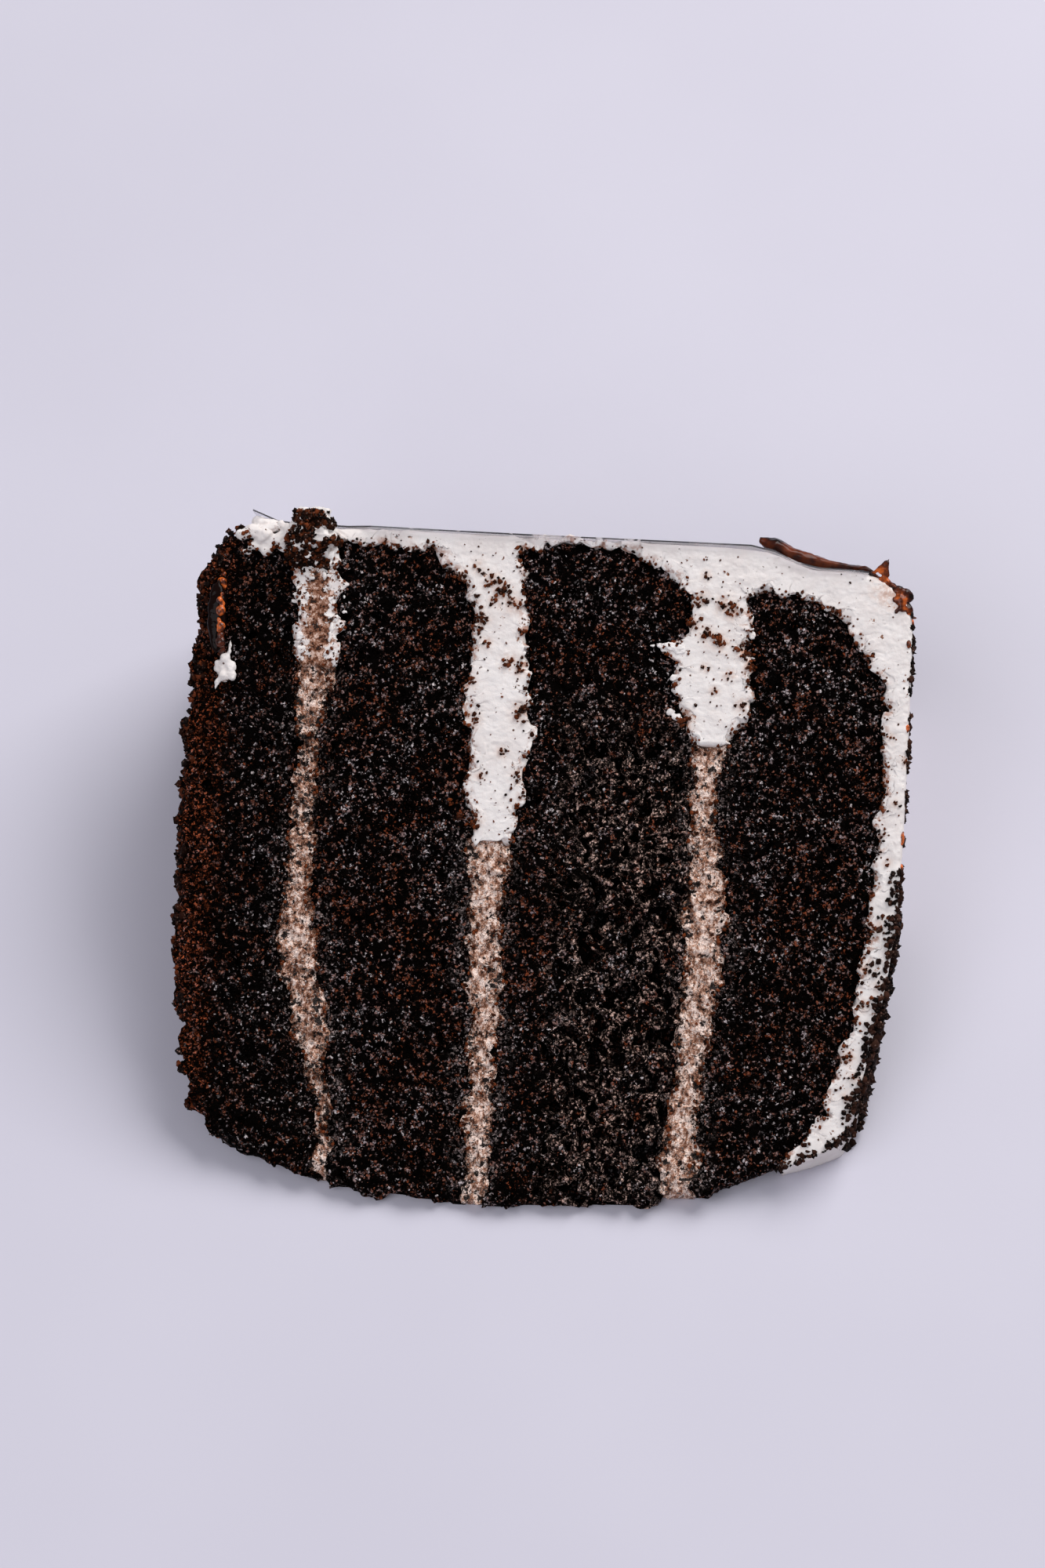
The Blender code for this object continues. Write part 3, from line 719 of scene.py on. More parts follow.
# The larger crumbs on the rings and the top of the cream: (height, radius, size) in millimetres.
RING_CRUMBS = (
    (-4.8, 99.7, 1.1), (-6.3, 101.2, 0.9), (-2.9, 98.0, 0.9), (-5.6, 98.4, 0.7), (-7.6, 95.3, 0.8),
    (-3.0, 88.8, 0.8), (-0.8, 81.2, 0.9), (-6.8, 91.6, 0.5), (-11.0, 101.8, 0.6), (-8.6, 103.2, 0.6),
    (-8.9, 85.4, 0.5), (-7.8, 79.4, 0.5), (-3.5, 74.7, 0.4), (-6.7, 70.9, 0.4), (-1.4, 87.6, 0.5),
    (-7.6, 63.9, 0.9), (-9.4, 64.4, 0.7), (-1.2, 93.6, 0.5), (-0.9, 71.0, 0.5), (-10.4, 66.5, 0.6),
    (26.4, 100.1, 0.7), (30.1, 99.3, 1.0), (31.2, 98.4, 0.8), (27.2, 94.9, 0.8), (28.4, 94.0, 0.8),
    (29.8, 93.4, 0.8), (25.0, 96.4, 0.7), (33.8, 92.0, 0.9), (34.4, 90.2, 0.7), (31.2, 88.5, 0.5),
    (24.5, 81.1, 1.1), (33.3, 84.0, 0.6), (26.8, 103.8, 0.4), (29.0, 86.0, 0.35), (27.4, 89.5, 0.35),
    (53.7, 105.9, 0.8), (52.9, 106.3, 0.6), (56.7, 80.1, 0.3), (59.0, 76.4, 0.35), (57.8, 69.9, 0.25),
    (57.2, 60.7, 0.25), (54.7, 51.0, 0.4), (56.3, 50.7, 0.5), (54.3, 44.2, 0.45), (56.7, 41.5, 0.4),
    (54.7, 38.5, 0.5), (52.6, 30.3, 0.6), (53.7, 27.3, 0.4), (52.7, 24.1, 0.4),
)

# Clumps that stand out from the first sponge's base corner: (height, radius, reach), in mm.
BASE_STEPS = (
    (-45.9, 107.2, 0.5), (-47.4, 105.9, 0.7), (-48.6, 104.2, 0.8), (-49.4, 102.4, 0.8), (-49.6, 100.4, 0.6),
    (-50.9, 98.3, 0.9), (-50.9, 96.4, 0.7), (-50.7, 94.2, 0.6), (-50.3, 91.8, 0.5), (-50.3, 88.4, 0.5),
    (-51.2, 85.8, 0.7), (-52.0, 84.0, 0.9),
)

# Where a border between two layers is torn far aside: (height, radius, pull along X, reach), in mm.
BORDER_PULLS = (
    (25.5, 89.0, -2.0, 9.5), (23.4, 92.8, -2.6, 2.6), (24.6, 96.5, 1.2, 2.4), (23.5, 90.2, 0.9, 1.5),
    (23.4, 87.4, -0.9, 1.4), (23.6, 84.8, 1.1, 1.6), (23.2, 82.0, -1.2, 1.6), (-11.0, 86.0, -0.9, 12.0),
    (-14.6, 102.8, -2.2, 2.6), (-11.6, 98.3, 1.2, 2.4),
    (-30.6, 99.4, 1.5, 2.2), (-30.4, 94.6, 1.2, 2.0), (-36.6, 88.6, -1.2, 2.2), (-36.4, 96.8, -1.0, 1.6),
    (33.0, 79.6, -1.4, 2.2), (46.5, 103.0, 1.2, 2.2), (34.2, 92.6, -1.4, 1.8), (34.6, 88.0, 0.9, 1.6),
)

# The outer edge of the cream on top, in the cut: radii, and the height at each, in millimetres.
TOP_EDGE = ((12.6, 16.6, 19.2, 30.0, 40.0, 54.0, 76.0), (43.0, 51.5, 53.1, 55.4, 57.5, 59.1, 59.4))

# The middle of the lump of cream that stands up at the rim: height, radius and lift in millimetres.
LUMP = (-34.6, 108.5, 2.5)

# The middle of the cream's top corner that is stained by glaze: height and radius in millimetres.
STAINED_CORNER = (56.5, 103.0)

# The height of the first ring, in millimetres, where filling and crumbs were smeared into it.
FIRST_RING = -33.2

SPONGES = ("sponge_1", "sponge_2", "sponge_3", "sponge_4")
FILLINGS = ("filling_1", "filling_2", "filling_3")


@dataclass
class SpongeLayer:
    """One sponge, remade with torn crumb on the cut and a baked skin elsewhere.

    Sizes are in millimetres: the size of a voxel, the grains and their height, the clumps, and
    the pores, which open up towards one side of the layer where pore_side is given.
    """

    name: str
    finish: CrumbFinish
    voxel: float = 0.64
    cuts: int = 2
    grain: float = 0.62
    grain_height: float = 0.42
    clump: float = 2.3
    clump_height: float = 1.0
    pore: float = 2.6
    pore_depth: float = 1.3
    sink: float = 0.25
    pore_side: tuple[float, float] | None = None

    def build(self) -> bpy.types.Object:
        """Remakes the sponge with its relief and finish."""
        piece = copied(self.name, self.name + "_crumb")
        modify(piece, "REMESH", mode="VOXEL", voxel_size=self.voxel * MM)
        divide_cut(piece, self.cuts)
        self.relief().press(piece)
        piece.data.materials.append(self.finish.material())
        return place_piece(piece, Slot.SPONGE, self.name)

    def openness(self, relief: Relief) -> Feed:
        """How open the crumb is, from 0 to 1."""
        if self.pore_side is None:
            return 0.0
        start, end = (x * MM for x in self.pore_side)
        side = relief.span(relief.x, start, end)
        lower = relief.span(relief.radius, 88.0 * MM, 72.0 * MM)
        return relief.times(side, lower)

    def relief(self) -> Relief:
        """The torn surface: clumps, grains and pores, with a rougher base."""
        r = Relief(self.name + "_relief")
        opened = self.openness(r)
        clumps = r.knobs(r.place, self.clump, "SMOOTH_F1")
        grains = r.knobs(r.place, self.grain)
        wave = r.wave(r.place, 8.0)
        long_place = r.vector("MULTIPLY", r.place, (1.25, 0.8, 0.8))
        pores = r.cloud(long_place, self.pore, 3.0, 0.55)
        threshold = r.minus(0.62, r.times(opened, 0.12))
        sunk = r.span(pores, threshold, r.plus(threshold, 0.09))
        web = r.span(r.calc("ABSOLUTE", r.minus(threshold, pores)), 0.04, 0.01)
        height = r.plus(r.times(clumps, self.clump_height), r.times(grains, self.grain_height))
        height = r.plus(height, r.times(wave, 1.6))
        height = r.minus(height, r.times(sunk, self.pore_depth))
        # The pores' mask, which the finish fills with painted shade.
        r.keep("sunk", r.times(sunk, r.on_cut))
        r.keep("web", r.times(web, opened))
        r.keep("to_filling", r.distance(*FILLINGS))
        base = r.span(r.x, -49.5 * MM, -54.0 * MM) if self.name == SPONGES[0] else 0.0
        r.keep("crust", base)
        lumpy = r.times(r.cells(r.place, 4.2, "SMOOTH_F1").outputs["Distance"], base)
        crusty = r.minus(r.times(base, 1.1), r.times(lumpy, 2.6))
        bump = r.plus(r.times(clumps, 0.5), r.times(wave, 0.8), crusty)
        lowered = r.minus(height, self.sink)
        r.move(r.lift(lowered, r.open_cut), r.bulge(bump, r.skin), r.ragged())
        return r


@dataclass
class FillingLayer:
    """One filling, pressed between two sponges and smeared over its cut edge."""

    name: str
    finish: FillingFinish
    voxel: float = 0.55
    cuts: int = 2

    def build(self) -> bpy.types.Object:
        """Remakes the filling with its relief and finish."""
        piece = copied(self.name, self.name + "_spread")
        swell(piece, 0.45)
        modify(piece, "REMESH", mode="VOXEL", voxel_size=self.voxel * MM)
        divide_cut(piece, self.cuts)
        r = Relief(self.name + "_relief")
        blobs = r.knobs(r.place, 1.5, "SMOOTH_F1")
        fine = r.wave(r.place, 0.9, 3.0, 0.6)
        height = r.plus(blobs, r.times(fine, 1.5))
        r.keep("to_sponge", r.distance(*SPONGES))
        r.move(r.lift(r.minus(height, 0.15), r.open_cut), r.ragged())
        r.press(piece)
        piece.data.materials.append(self.finish.material())
        return place_piece(piece, Slot.FILLING, self.name)


@dataclass
class CreamCoat:
    """The white cream: coat, rings and lump, remade with the strokes of a spreading knife."""

    finish: CreamFinish
    voxel: float = 0.72
    cuts: int = 2

    def build(self) -> bpy.types.Object:
        """Remakes the cream with its relief and finish."""
        piece = copied("cream", "cream_coat")
        swell(piece, 0.25)
        modify(piece, "REMESH", mode="VOXEL", voxel_size=self.voxel * MM)
        divide_cut(piece, self.cuts)
        self.relief().press(piece)
        self.halo(piece)
        piece.data.materials.append(self.finish.material())
        return place_piece(piece, Slot.CREAM, "cream")

    @staticmethod
    def relief() -> Relief:
        """The surface's strokes, pits and torn lump, and where it is stained and muddied."""
        r = Relief("cream_relief")
        soft = r.wave(r.place, 3.0, 3.0, 0.55)
        strokes = r.wave(r.vector("MULTIPLY", r.place, (0.35, 1.0, 1.0)), 1.4)
        pits = r.span(r.cells(r.place, 1.1).outputs["Distance"], 0.16, 0.02)
        fine = r.wave(r.place, 0.7, 2.0, 0.6)
        height = r.plus(r.times(soft, 0.55), r.times(strokes, 0.15), r.times(fine, 0.30))
        height = r.minus(height, r.times(pits, 0.2))
        near = r.distance(*SPONGES)
        r.keep("to_sponge", near)
        dirty = r.plus(r.away(cut_point(*STAINED_CORNER)), r.times(strokes, 4.0 * MM))
        r.keep("stain", r.span(dirty, 5.0 * MM, 1.0 * MM, 0.0, 0.62))
        aside = r.calc("ABSOLUTE", r.minus(r.x, cut_point(FIRST_RING, 0).x))
        mud = r.times(r.span(aside, 3.6 * MM, 0.4 * MM), r.span(r.radius, 105.0 * MM, 98.0 * MM))
        r.keep("mud", r.times(mud, r.open_cut))
        torn = r.times(r.minus(r.cloud(r.place, 2.4, 3.0, 0.6), 0.62), 4.0)
        torn = r.times(torn, r.span(r.away(cut_point(*LUMP)), 7.0 * MM, 4.5 * MM))
        beside = r.scaled(r.ragged(), r.span(near, 3.0, 1.0))
        r.move(r.lift(r.plus(height, 0.25), r.open_cut), r.bulge(height, r.skin), r.bulge(torn), beside)
        return r

    @staticmethod
    def halo(piece: bpy.types.Object) -> None:
        """Stains the cream round each larger crumb that lies on it."""
        tree = KDTree(len(RING_CRUMBS))
        for number, (height, radius, _) in enumerate(RING_CRUMBS):
            tree.insert(cut_point(height, radius), number)
        tree.balance()
        stain = piece.data.attributes["stain"].data
        for vertex, spot in zip(piece.data.vertices, stain):
            _, number, away = tree.find(vertex.co)
            reach = (RING_CRUMBS[number][2] * 1.1 + 0.4) * MM
            if away < 2 * reach:
                spot.value = max(spot.value, 0.75 * math.exp(-((away / reach) ** 2)))


class Ground:
    """The surfaces of finished pieces, which loose crumbs are dropped on."""

    def __init__(self) -> None:
        """Starts without any surface."""
        self.trees: list[tuple[Slot, BVHTree]] = []

    def add(self, piece: bpy.types.Object, slot: Slot) -> None:
        """Adds the surface of a finished piece, known by its slot."""
        graph = bpy.context.evaluated_depsgraph_get()
        self.trees.append((slot, BVHTree.FromObject(piece, graph)))

    def gap(self, point: Vector) -> float:
        """Distance from a point to the nearest surface, in millimetres."""
        return min(tree.find_nearest(point)[3] for _, tree in self.trees) / MM

    def meet(self, start: Vector, way: Vector, reach: float) -> tuple[Vector | None, Slot | None]:
        """The first surface met from a point.

        Args:
            start: where the search starts.
            way: the direction to look in.
            reach: how far to look, in millimetres.

        Returns:
            The nearest hit, or None if nothing is met, and the slot of what is met.
        """
        nearest, found, kind = reach * MM, None, None
        for slot, tree in self.trees:
            hit = tree.ray_cast(start, way, nearest)
            if hit[0] is not None:
                found, nearest, kind = hit[0], hit[3], slot
        return found, kind

    def on_cut(self, height: float, radius: float) -> tuple[Vector | None, Slot | None]:
        """The surface of the upper cut at a height and radius, in millimetres, and its slot."""
        return self.meet(cut_point(height, radius, 8.0), -CUT_NORMAL, 16.0)


class CrumbShapes:
    """A few uneven lumps, from which each loose crumb takes its shape."""

    def __init__(self, count: int, segments: int, rings: int, seed: int) -> None:
        """Models the lumps once."""
        self.lumps = [self.lump(segments, rings, seed + i) for i in range(count)]

    @staticmethod
    def lump(segments: int, rings: int, seed: int) -> tuple[np.ndarray, np.ndarray]:
        """One torn lump of about unit radius.

        Args:
            segments: how many sides the ball that it starts from has.
            rings: how many rows of faces the ball has.
            seed: picks its shape.

        Returns:
            Its points and its triangles.
        """
        bpy.ops.mesh.primitive_uv_sphere_add(segments=segments, ring_count=rings, radius=1.0)
        ball = bpy.context.active_object
        with editing(ball):
            bpy.ops.mesh.select_all(action="SELECT")
            bpy.ops.mesh.quads_convert_to_tris()
            bpy.ops.transform.vertex_random(offset=0.3, uniform=0.2, normal=0.6, seed=seed)
        for vertex in ball.data.vertices:
            vertex.co *= 1 + 0.55 * noise.noise(vertex.co * 1.3 + Vector((seed, 0, 0)))
        points = np.array([vertex.co for vertex in ball.data.vertices])
        triangles = np.array([face.vertices[:] for face in ball.data.polygons])
        bpy.data.objects.remove(ball)
        return points, triangles


class CrumbPile:
    """Loose crumbs, gathered one by one and made into one mesh."""

    def __init__(self, name: str, shapes: CrumbShapes, draw: random.Random) -> None:
        """Starts an empty pile."""
        self.name = name
        self.shapes = shapes
        self.draw = draw
        self.points: list[np.ndarray] = []
        self.triangles: list[np.ndarray] = []
        self.shades: list[np.ndarray] = []
        self.count = 0

    def drop(self, centre: Vector, size: float, shade: float, flat: float = 0.75) -> None:
        """Adds one crumb.

        Args:
            centre: its middle.
            size: its radius in millimetres.
            shade: how light it is, from 0 to 1.
            flat: its height as a share of its width.
        """
        points, triangles = self.draw.choice(self.shapes.lumps)
        turn = Euler([self.draw.uniform(0, math.tau) for _ in range(3)]).to_matrix()
        stretch = np.array([1.0, self.draw.uniform(0.65, 1.0), flat]) * size * MM
        placed = (points * stretch) @ np.array(turn).T + np.array(centre)
        placed[:, 2] = np.maximum(placed[:, 2], 0.0)
        self.points.append(placed)
        self.triangles.append(triangles + self.count)
        self.shades.append(np.full(len(points), shade))
        self.count += len(points)

    def build(self, finish: LooseCrumbFinish, slot: Slot, *nodes: str) -> bpy.types.Object:
        """Makes the gathered crumbs into one finished piece."""
        mesh = bpy.data.meshes.new(self.name)
        points = np.concatenate(self.points)
        mesh.from_pydata(points, [], np.concatenate(self.triangles))
        rest = mesh.attributes.new("rest", "FLOAT_VECTOR", "POINT")
        rest.data.foreach_set("vector", points.astype(np.float32).ravel())
        shade = mesh.attributes.new("shade", "FLOAT", "POINT")
        shade.data.foreach_set("value", np.concatenate(self.shades).astype(np.float32))
        mesh.shade_smooth()
        mesh.materials.append(finish.material())
        piece = bpy.data.objects.new(self.name, mesh)
        bpy.context.scene.collection.objects.link(piece)
        return place_piece(piece, slot, *nodes)


@dataclass
class Topping:
    """Biscuit crumbs pressed on the cake's top: thick towards the tip, thin towards the rim.

    Radii and sizes are in millimetres. The bed thins out between the two radii of fade. Each
    crumb falls from a height above the cake's middle.
    """

    finish: LooseCrumbFinish
    count: int = 7200
    edge_count: int = 420
    spill_count: int = 330
    inner: float = 17.0
    outer: float = 98.0
    fade: tuple[float, float] = (51.0, 60.0)
    sparse: float = 0.035
    sizes: tuple[float, float] = (0.3, 1.05)
    falls_from: float = 75.0
    spill_radii: tuple[float, float] = (12.0, 60.0)
    spill_sizes: tuple[float, float] = (0.18, 0.62)

    def build(self, ground: Ground, shapes: CrumbShapes) -> bpy.types.Object:
        """Drops the crumbs on the cream's top from outside.

        Args:
            ground: the surfaces to drop on.
            shapes: the crumbs' shapes.

        Returns:
            The crumbs as one piece.
        """
        draw = random.Random(21)
        pile = CrumbPile("crumb_topping_loose", shapes, draw)
        for _ in range(self.count):
            radius = self.inner + (self.outer - self.inner) * math.sqrt(draw.random())
            turn = draw.uniform(0.01, WEDGE)
            clumped = noise.noise(Vector((radius, turn * 60, 0)) / 5)
            share = self.thickness(radius) * (0.75 + 1.8 * clumped + 0.012 * max(45 - radius, 0))
            if draw.random() < share:
                self.drop(pile, ground, draw, radius, turn)
        for _ in range(self.edge_count):
            radius = draw.uniform(self.fade[0], self.outer)
            if noise.noise(Vector((radius, 11.0, 0)) / 1.7) > draw.uniform(-0.2, 0.3):
                self.drop(pile, ground, draw, radius, WEDGE - abs(draw.gauss(0, 1.5)) / radius)
        for _ in range(self.spill_count):
            self.spill(pile, ground, draw)
        return pile.build(self.finish, Slot.CRUMBS, "crumb_topping")

    def thickness(self, radius: float) -> float:
        """How thick the bed is at a radius, from a few lone crumbs to full."""
        start, end = self.fade
        return min(max((end - radius) / (end - start), self.sparse), 1.0)

    def drop(self, pile: CrumbPile, ground: Ground, draw: random.Random, radius: float, turn: float) -> None:
        """Drops one crumb on the top from outside.

        Args:
            pile: the crumbs so far.
            ground: the surfaces to drop on.
            draw: the source of random numbers.
            radius: its distance from the cake's axis, in millimetres.
            turn: its place round the axis, in radians from the lower cut.
        """
        thick = self.thickness(radius)
        size = draw.uniform(*self.sizes) * (0.6 + 0.4 * thick)
        out = Vector((0, math.cos(turn), math.sin(turn)))
        start = AXIS + Vector((self.falls_from, 0, 0)) * MM + out * radius * MM
        hit, _ = ground.meet(start, Vector((-1, 0, 0)), 40.0)
        if hit is not None:
            centre = hit + Vector((draw.uniform(0.1, 0.6) * thick * size * MM, 0, 0))
            pile.drop(centre, size, draw.random() ** 2)

    def spill(self, pile: CrumbPile, ground: Ground, draw: random.Random) -> None:
        """Drops one crumb on the cut, beside the top edge."""
        radius = draw.uniform(*self.spill_radii)
        clumped = noise.noise(Vector((radius, 7.0, 0)) / 3.5)
        height = float(np.interp(radius, *TOP_EDGE)) + 0.6 - abs(draw.gauss(0, 0.9 + 1.6 * max(clumped, 0)))
        hit, _ = ground.on_cut(height, radius)
        if hit is not None:
            size = draw.uniform(*self.spill_sizes)
            pile.drop(hit + CUT_NORMAL * size * 0.3 * MM, size, draw.random() ** 2)


@dataclass
class Strays:
    """Sponge crumbs that the knife dragged over the cream and the lump at the rim.

    Heights, radii and sizes are in millimetres. Crumbs are tried all over the lump's heights and
    radii, and lie where it isn't bare.
    """

    finish: LooseCrumbFinish
    crumbs_a_size: float = 12.0
    lump_tries: int = 760
    lump_heights: tuple[float, float] = (-38.6, -30.0)
    lump_radii: tuple[float, float] = (102.0, 110.6)

    def build(self, ground: Ground, shapes: CrumbShapes) -> bpy.types.Object:
        """Gathers the crumbs into one piece.

        Args:
            ground: the surfaces to drop on.
            shapes: the crumbs' shapes.

        Returns:
            The crumbs as one piece.
        """
        draw = random.Random(5)
        pile = CrumbPile("stray_crumbs", shapes, draw)
        for height, radius, size in RING_CRUMBS:
            spread = 0.22 + 0.45 * size
            for _ in range(1 + round(size * self.crumbs_a_size)):
                spot = (height + draw.gauss(0, spread), radius + draw.gauss(0, spread * 0.8))
                self.lay(pile, ground, spot, draw.uniform(0.15, 0.25 + 0.25 * size), draw.random() ** 1.2)
        for _ in range(self.lump_tries):
            height, radius = draw.uniform(*self.lump_heights), draw.uniform(*self.lump_radii)
            clumped = noise.noise(Vector((height, radius, 4.0)) / 1.6)
            if clumped > self.bareness(height, radius):
                self.lay(pile, ground, (height, radius), draw.uniform(0.22, 0.55), draw.random() ** 4)
        return pile.build(self.finish, Slot.SPONGE)

    @staticmethod
    def bareness(height: float, radius: float) -> float:
        """How bare the lump is at a place: more so outwards, and away from its middle height."""
        return 0.035 * (radius - 104) + 0.12 * abs(height + 34.5) - 0.5

    @staticmethod
    def lay(pile: CrumbPile, ground: Ground, spot: tuple[float, float], size: float, shade: float) -> None:
        """Lays one crumb on the cut at a (height, radius) spot."""
        hit, _ = ground.on_cut(*spot)
        if hit is not None:
            pile.drop(hit + CUT_NORMAL * size * 0.3 * MM, size, shade)


@dataclass
class BorderCrumbs:
    """Fine crumbs torn loose where the sponges meet the cream and the fillings.

    Heights and radii are in millimetres. A few specks lie farther out on the cream: the two
    shares say how often, for the rings at the rim and for the top above them. None lie at the tip,
    inside the radius of bare_inside.
    """

    finish: LooseCrumbFinish
    tries: int = 100000
    specks_on_rings: float = 0.022
    specks_on_top: float = 0.006
    rings_below: float = 36.0
    bare_inside: float = 55.0
    heights: tuple[float, float] = (-46.0, 60.0)
    radii: tuple[float, float] = (12.0, 107.0)

    def build(self, ground: Ground, shapes: CrumbShapes) -> bpy.types.Object:
        """Gathers the crumbs into one piece.

        Args:
            ground: the surfaces to drop on.
            shapes: the crumbs' shapes.

        Returns:
            The crumbs as one piece.
        """
        draw = random.Random(9)
        pile = CrumbPile("border_crumbs", shapes, draw)
        for _ in range(self.tries):
            height, radius = draw.uniform(*self.heights), draw.uniform(*self.radii)
            turn = draw.uniform(0, math.tau)
            clumped = noise.noise(Vector((height, radius, 1.0)) / 1.8)
            reach = abs(draw.gauss(0, 0.5 + 2.0 * max(clumped, 0.0)))
            hit, kind = ground.on_cut(height, radius)
            if hit is None or kind is Slot.SPONGE:
                continue
            _, beside = ground.on_cut(height + reach * math.cos(turn), radius + reach * math.sin(turn))
            specks = self.specks_on_rings if height < self.rings_below else self.specks_on_top
            if beside is Slot.SPONGE:
                size = draw.uniform(0.18, 0.44)
                pile.drop(hit + CUT_NORMAL * size * 0.4 * MM, size, draw.random() ** 1.3)
            elif kind is Slot.CREAM and radius > self.bare_inside and draw.random() < specks:
                pile.drop(hit + CUT_NORMAL * 0.06 * MM, draw.uniform(0.08, 0.24), draw.random())
        return pile.build(self.finish, Slot.SPONGE)


@dataclass
class BaseClumps:
    """Torn clumps that hang on the base edge of the first sponge.

    Radii, the spread below the cut and the height that crumbs fly in from are in millimetres.
    """

    finish: LooseCrumbFinish
    tries: int = 1500
    radii: tuple[float, float] = (17.0, 99.0)
    spread: float = 6.0
    flies_from: float = -66.0
    clump_crumbs: int = 34

    def build(self, ground: Ground, shapes: CrumbShapes) -> bpy.types.Object:
        """Gathers the clumps into one piece.

        Args:
            ground: the surfaces to drop on.
            shapes: the crumbs' shapes.

        Returns:
            The clumps as one piece.
        """
        draw = random.Random(5)
        pile = CrumbPile("base_clumps", shapes, draw)
        for _ in range(self.tries):
            radius = draw.uniform(*self.radii)
            depth = abs(draw.gauss(0, self.spread))
            clumped = noise.noise(Vector((radius, depth, 3.0)) / 3.0)
            if clumped < 0.0:
                continue
            start = cut_point(self.flies_from, radius, -0.4 - depth)
            hit, _ = ground.meet(start, Vector((1, 0, 0)), 40.0)
            if hit is not None:
                size = draw.uniform(0.3, 0.55 + 0.7 * clumped)
                pile.drop(hit - Vector((size * 0.3 * MM, 0, 0)), size, draw.random() ** 4)
        for height, radius, reach in BASE_STEPS:
            self.grow(pile, ground, draw, cut_point(height, radius), reach)
        return pile.build(self.finish, Slot.SPONGE)

    def grow(
        self, pile: CrumbPile, ground: Ground, draw: random.Random, middle: Vector, reach: float
    ) -> None:
        """Grows one clump outwards, so that each crumb touches the sponge or an earlier crumb.

        Args:
            pile: the crumbs so far.
            ground: the surfaces to hang on.
            draw: the source of random numbers.
            middle: the clump's middle.
            reach: how far it spreads, in millimetres.
        """
        spots = []
        for _ in range(self.clump_crumbs):
            step = Vector((draw.gauss(0, reach), 0, 0)) + OUTWARD * draw.gauss(0, reach)
            spots.append(middle + (step - CUT_NORMAL * abs(draw.gauss(0, 1.2))) * MM)
        laid: list[tuple[Vector, float]] = []
        for spot in sorted(spots, key=ground.gap):
            size = draw.uniform(0.25, 0.62)
            touching = any((spot - other).length < 0.7 * (size + wide) * MM for other, wide in laid)
            if touching or ground.gap(spot) < 0.6 * size:
                laid.append((spot, size))
                pile.drop(spot, size, draw.random() ** 4)


@dataclass(frozen=True)
class Dab:
    """A soft ball of a cluster: its place in the cut, its half sizes along X, outwards and up."""

    height: float
    radius: float
    half: tuple[float, float, float]
    lift: float = 0.0


def dabs(*rows: tuple[float, ...]) -> list[Dab]:
    """Makes balls from rows: height, radius, three half sizes and, if there is one, the lift."""
    return [Dab(row[0], row[1], row[2:5], *row[5:]) for row in rows]


@dataclass(frozen=True)
class Spike:
    """A drawn-out cone: its place in the cut, its half width, and how far it leans each way."""

    height: float
    radius: float
    half: float
    lean: tuple[float, float, float]


@dataclass
class SoftCluster:
    """A soft shape made of balls that have run together: a smear, a blob or a row of beads."""

    name: str
    slot: Slot
    finish: GlazeFinish | CreamFinish
    dabs: Sequence[Dab]
    voxel: float = 0.22
    unevenness: float = 0.25
    lump: float = 1.1
    spikes: Sequence[Spike] = ()

    def build(self, ground: Ground, *nodes: str) -> bpy.types.Object:
        """Sets the balls on the cut, melts them together and finishes them.

        Args:
            ground: the surfaces to set them on.
            nodes: the solids that the shape replaces, if any.

        Returns:
            The finished piece.
        """
        parts = [self.ball(dab, ground) for dab in self.dabs]
        parts += [self.spike(spike, ground) for spike in self.spikes]
        for part in parts:
            part.select_set(True)
        bpy.context.view_layer.objects.active = parts[0]
        bpy.ops.object.join()
        piece = bpy.context.active_object
        piece.name = piece.data.name = self.name
        modify(piece, "REMESH", mode="VOXEL", voxel_size=self.voxel * MM)
        modify(piece, "SMOOTH", factor=0.5, iterations=3)
        r = Relief(self.name + "_relief")
        wave = r.wave(r.place, self.lump)
        for name, value in (("to_sponge", 9.0), ("stain", 0.0), ("mud", 0.0)):
            r.keep(name, value)
        r.move(r.bulge(r.times(wave, 2 * self.unevenness)))
        r.press(piece)
        piece.data.materials.append(self.finish.material())
        return place_piece(piece, self.slot, *nodes)

    @staticmethod
    def seat(part: Dab | Spike, ground: Ground) -> Vector:
        """The surface under a part of the shape, or the bare cut where there is none."""
        hit, _ = ground.on_cut(part.height, part.radius)
        return cut_point(part.height, part.radius) if hit is None else hit

    def ball(self, dab: Dab, ground: Ground) -> bpy.types.Object:
        """One squashed ball, lying flat on the cut."""
        size = [half * MM for half in dab.half]
        place = self.seat(dab, ground) + CUT_NORMAL * dab.lift * MM
        bpy.ops.mesh.primitive_ico_sphere_add(
            subdivisions=4, radius=1.0, location=place, rotation=(WEDGE, 0, 0), scale=size
        )
        return settled()

    def spike(self, spike: Spike, ground: Ground) -> bpy.types.Object:
        """One drawn-out cone that leans a way given along X, outwards and up."""
        along, out, up = spike.lean
        way = (Vector((along, 0, 0)) + OUTWARD * out + CUT_NORMAL * up) * MM
        bpy.ops.mesh.primitive_cone_add(
            vertices=16, radius1=spike.half * MM, radius2=0.12 * MM, depth=way.length,
            location=self.seat(spike, ground) + way / 2, rotation=way.to_track_quat("Z", "Y").to_euler(),
        )
        return settled()


def settled() -> bpy.types.Object:
    """The new primitive, with its place put into its mesh."""
    piece = bpy.context.active_object
    pick(piece)
    bpy.ops.object.transform_apply(location=True, rotation=True, scale=True)
    return piece


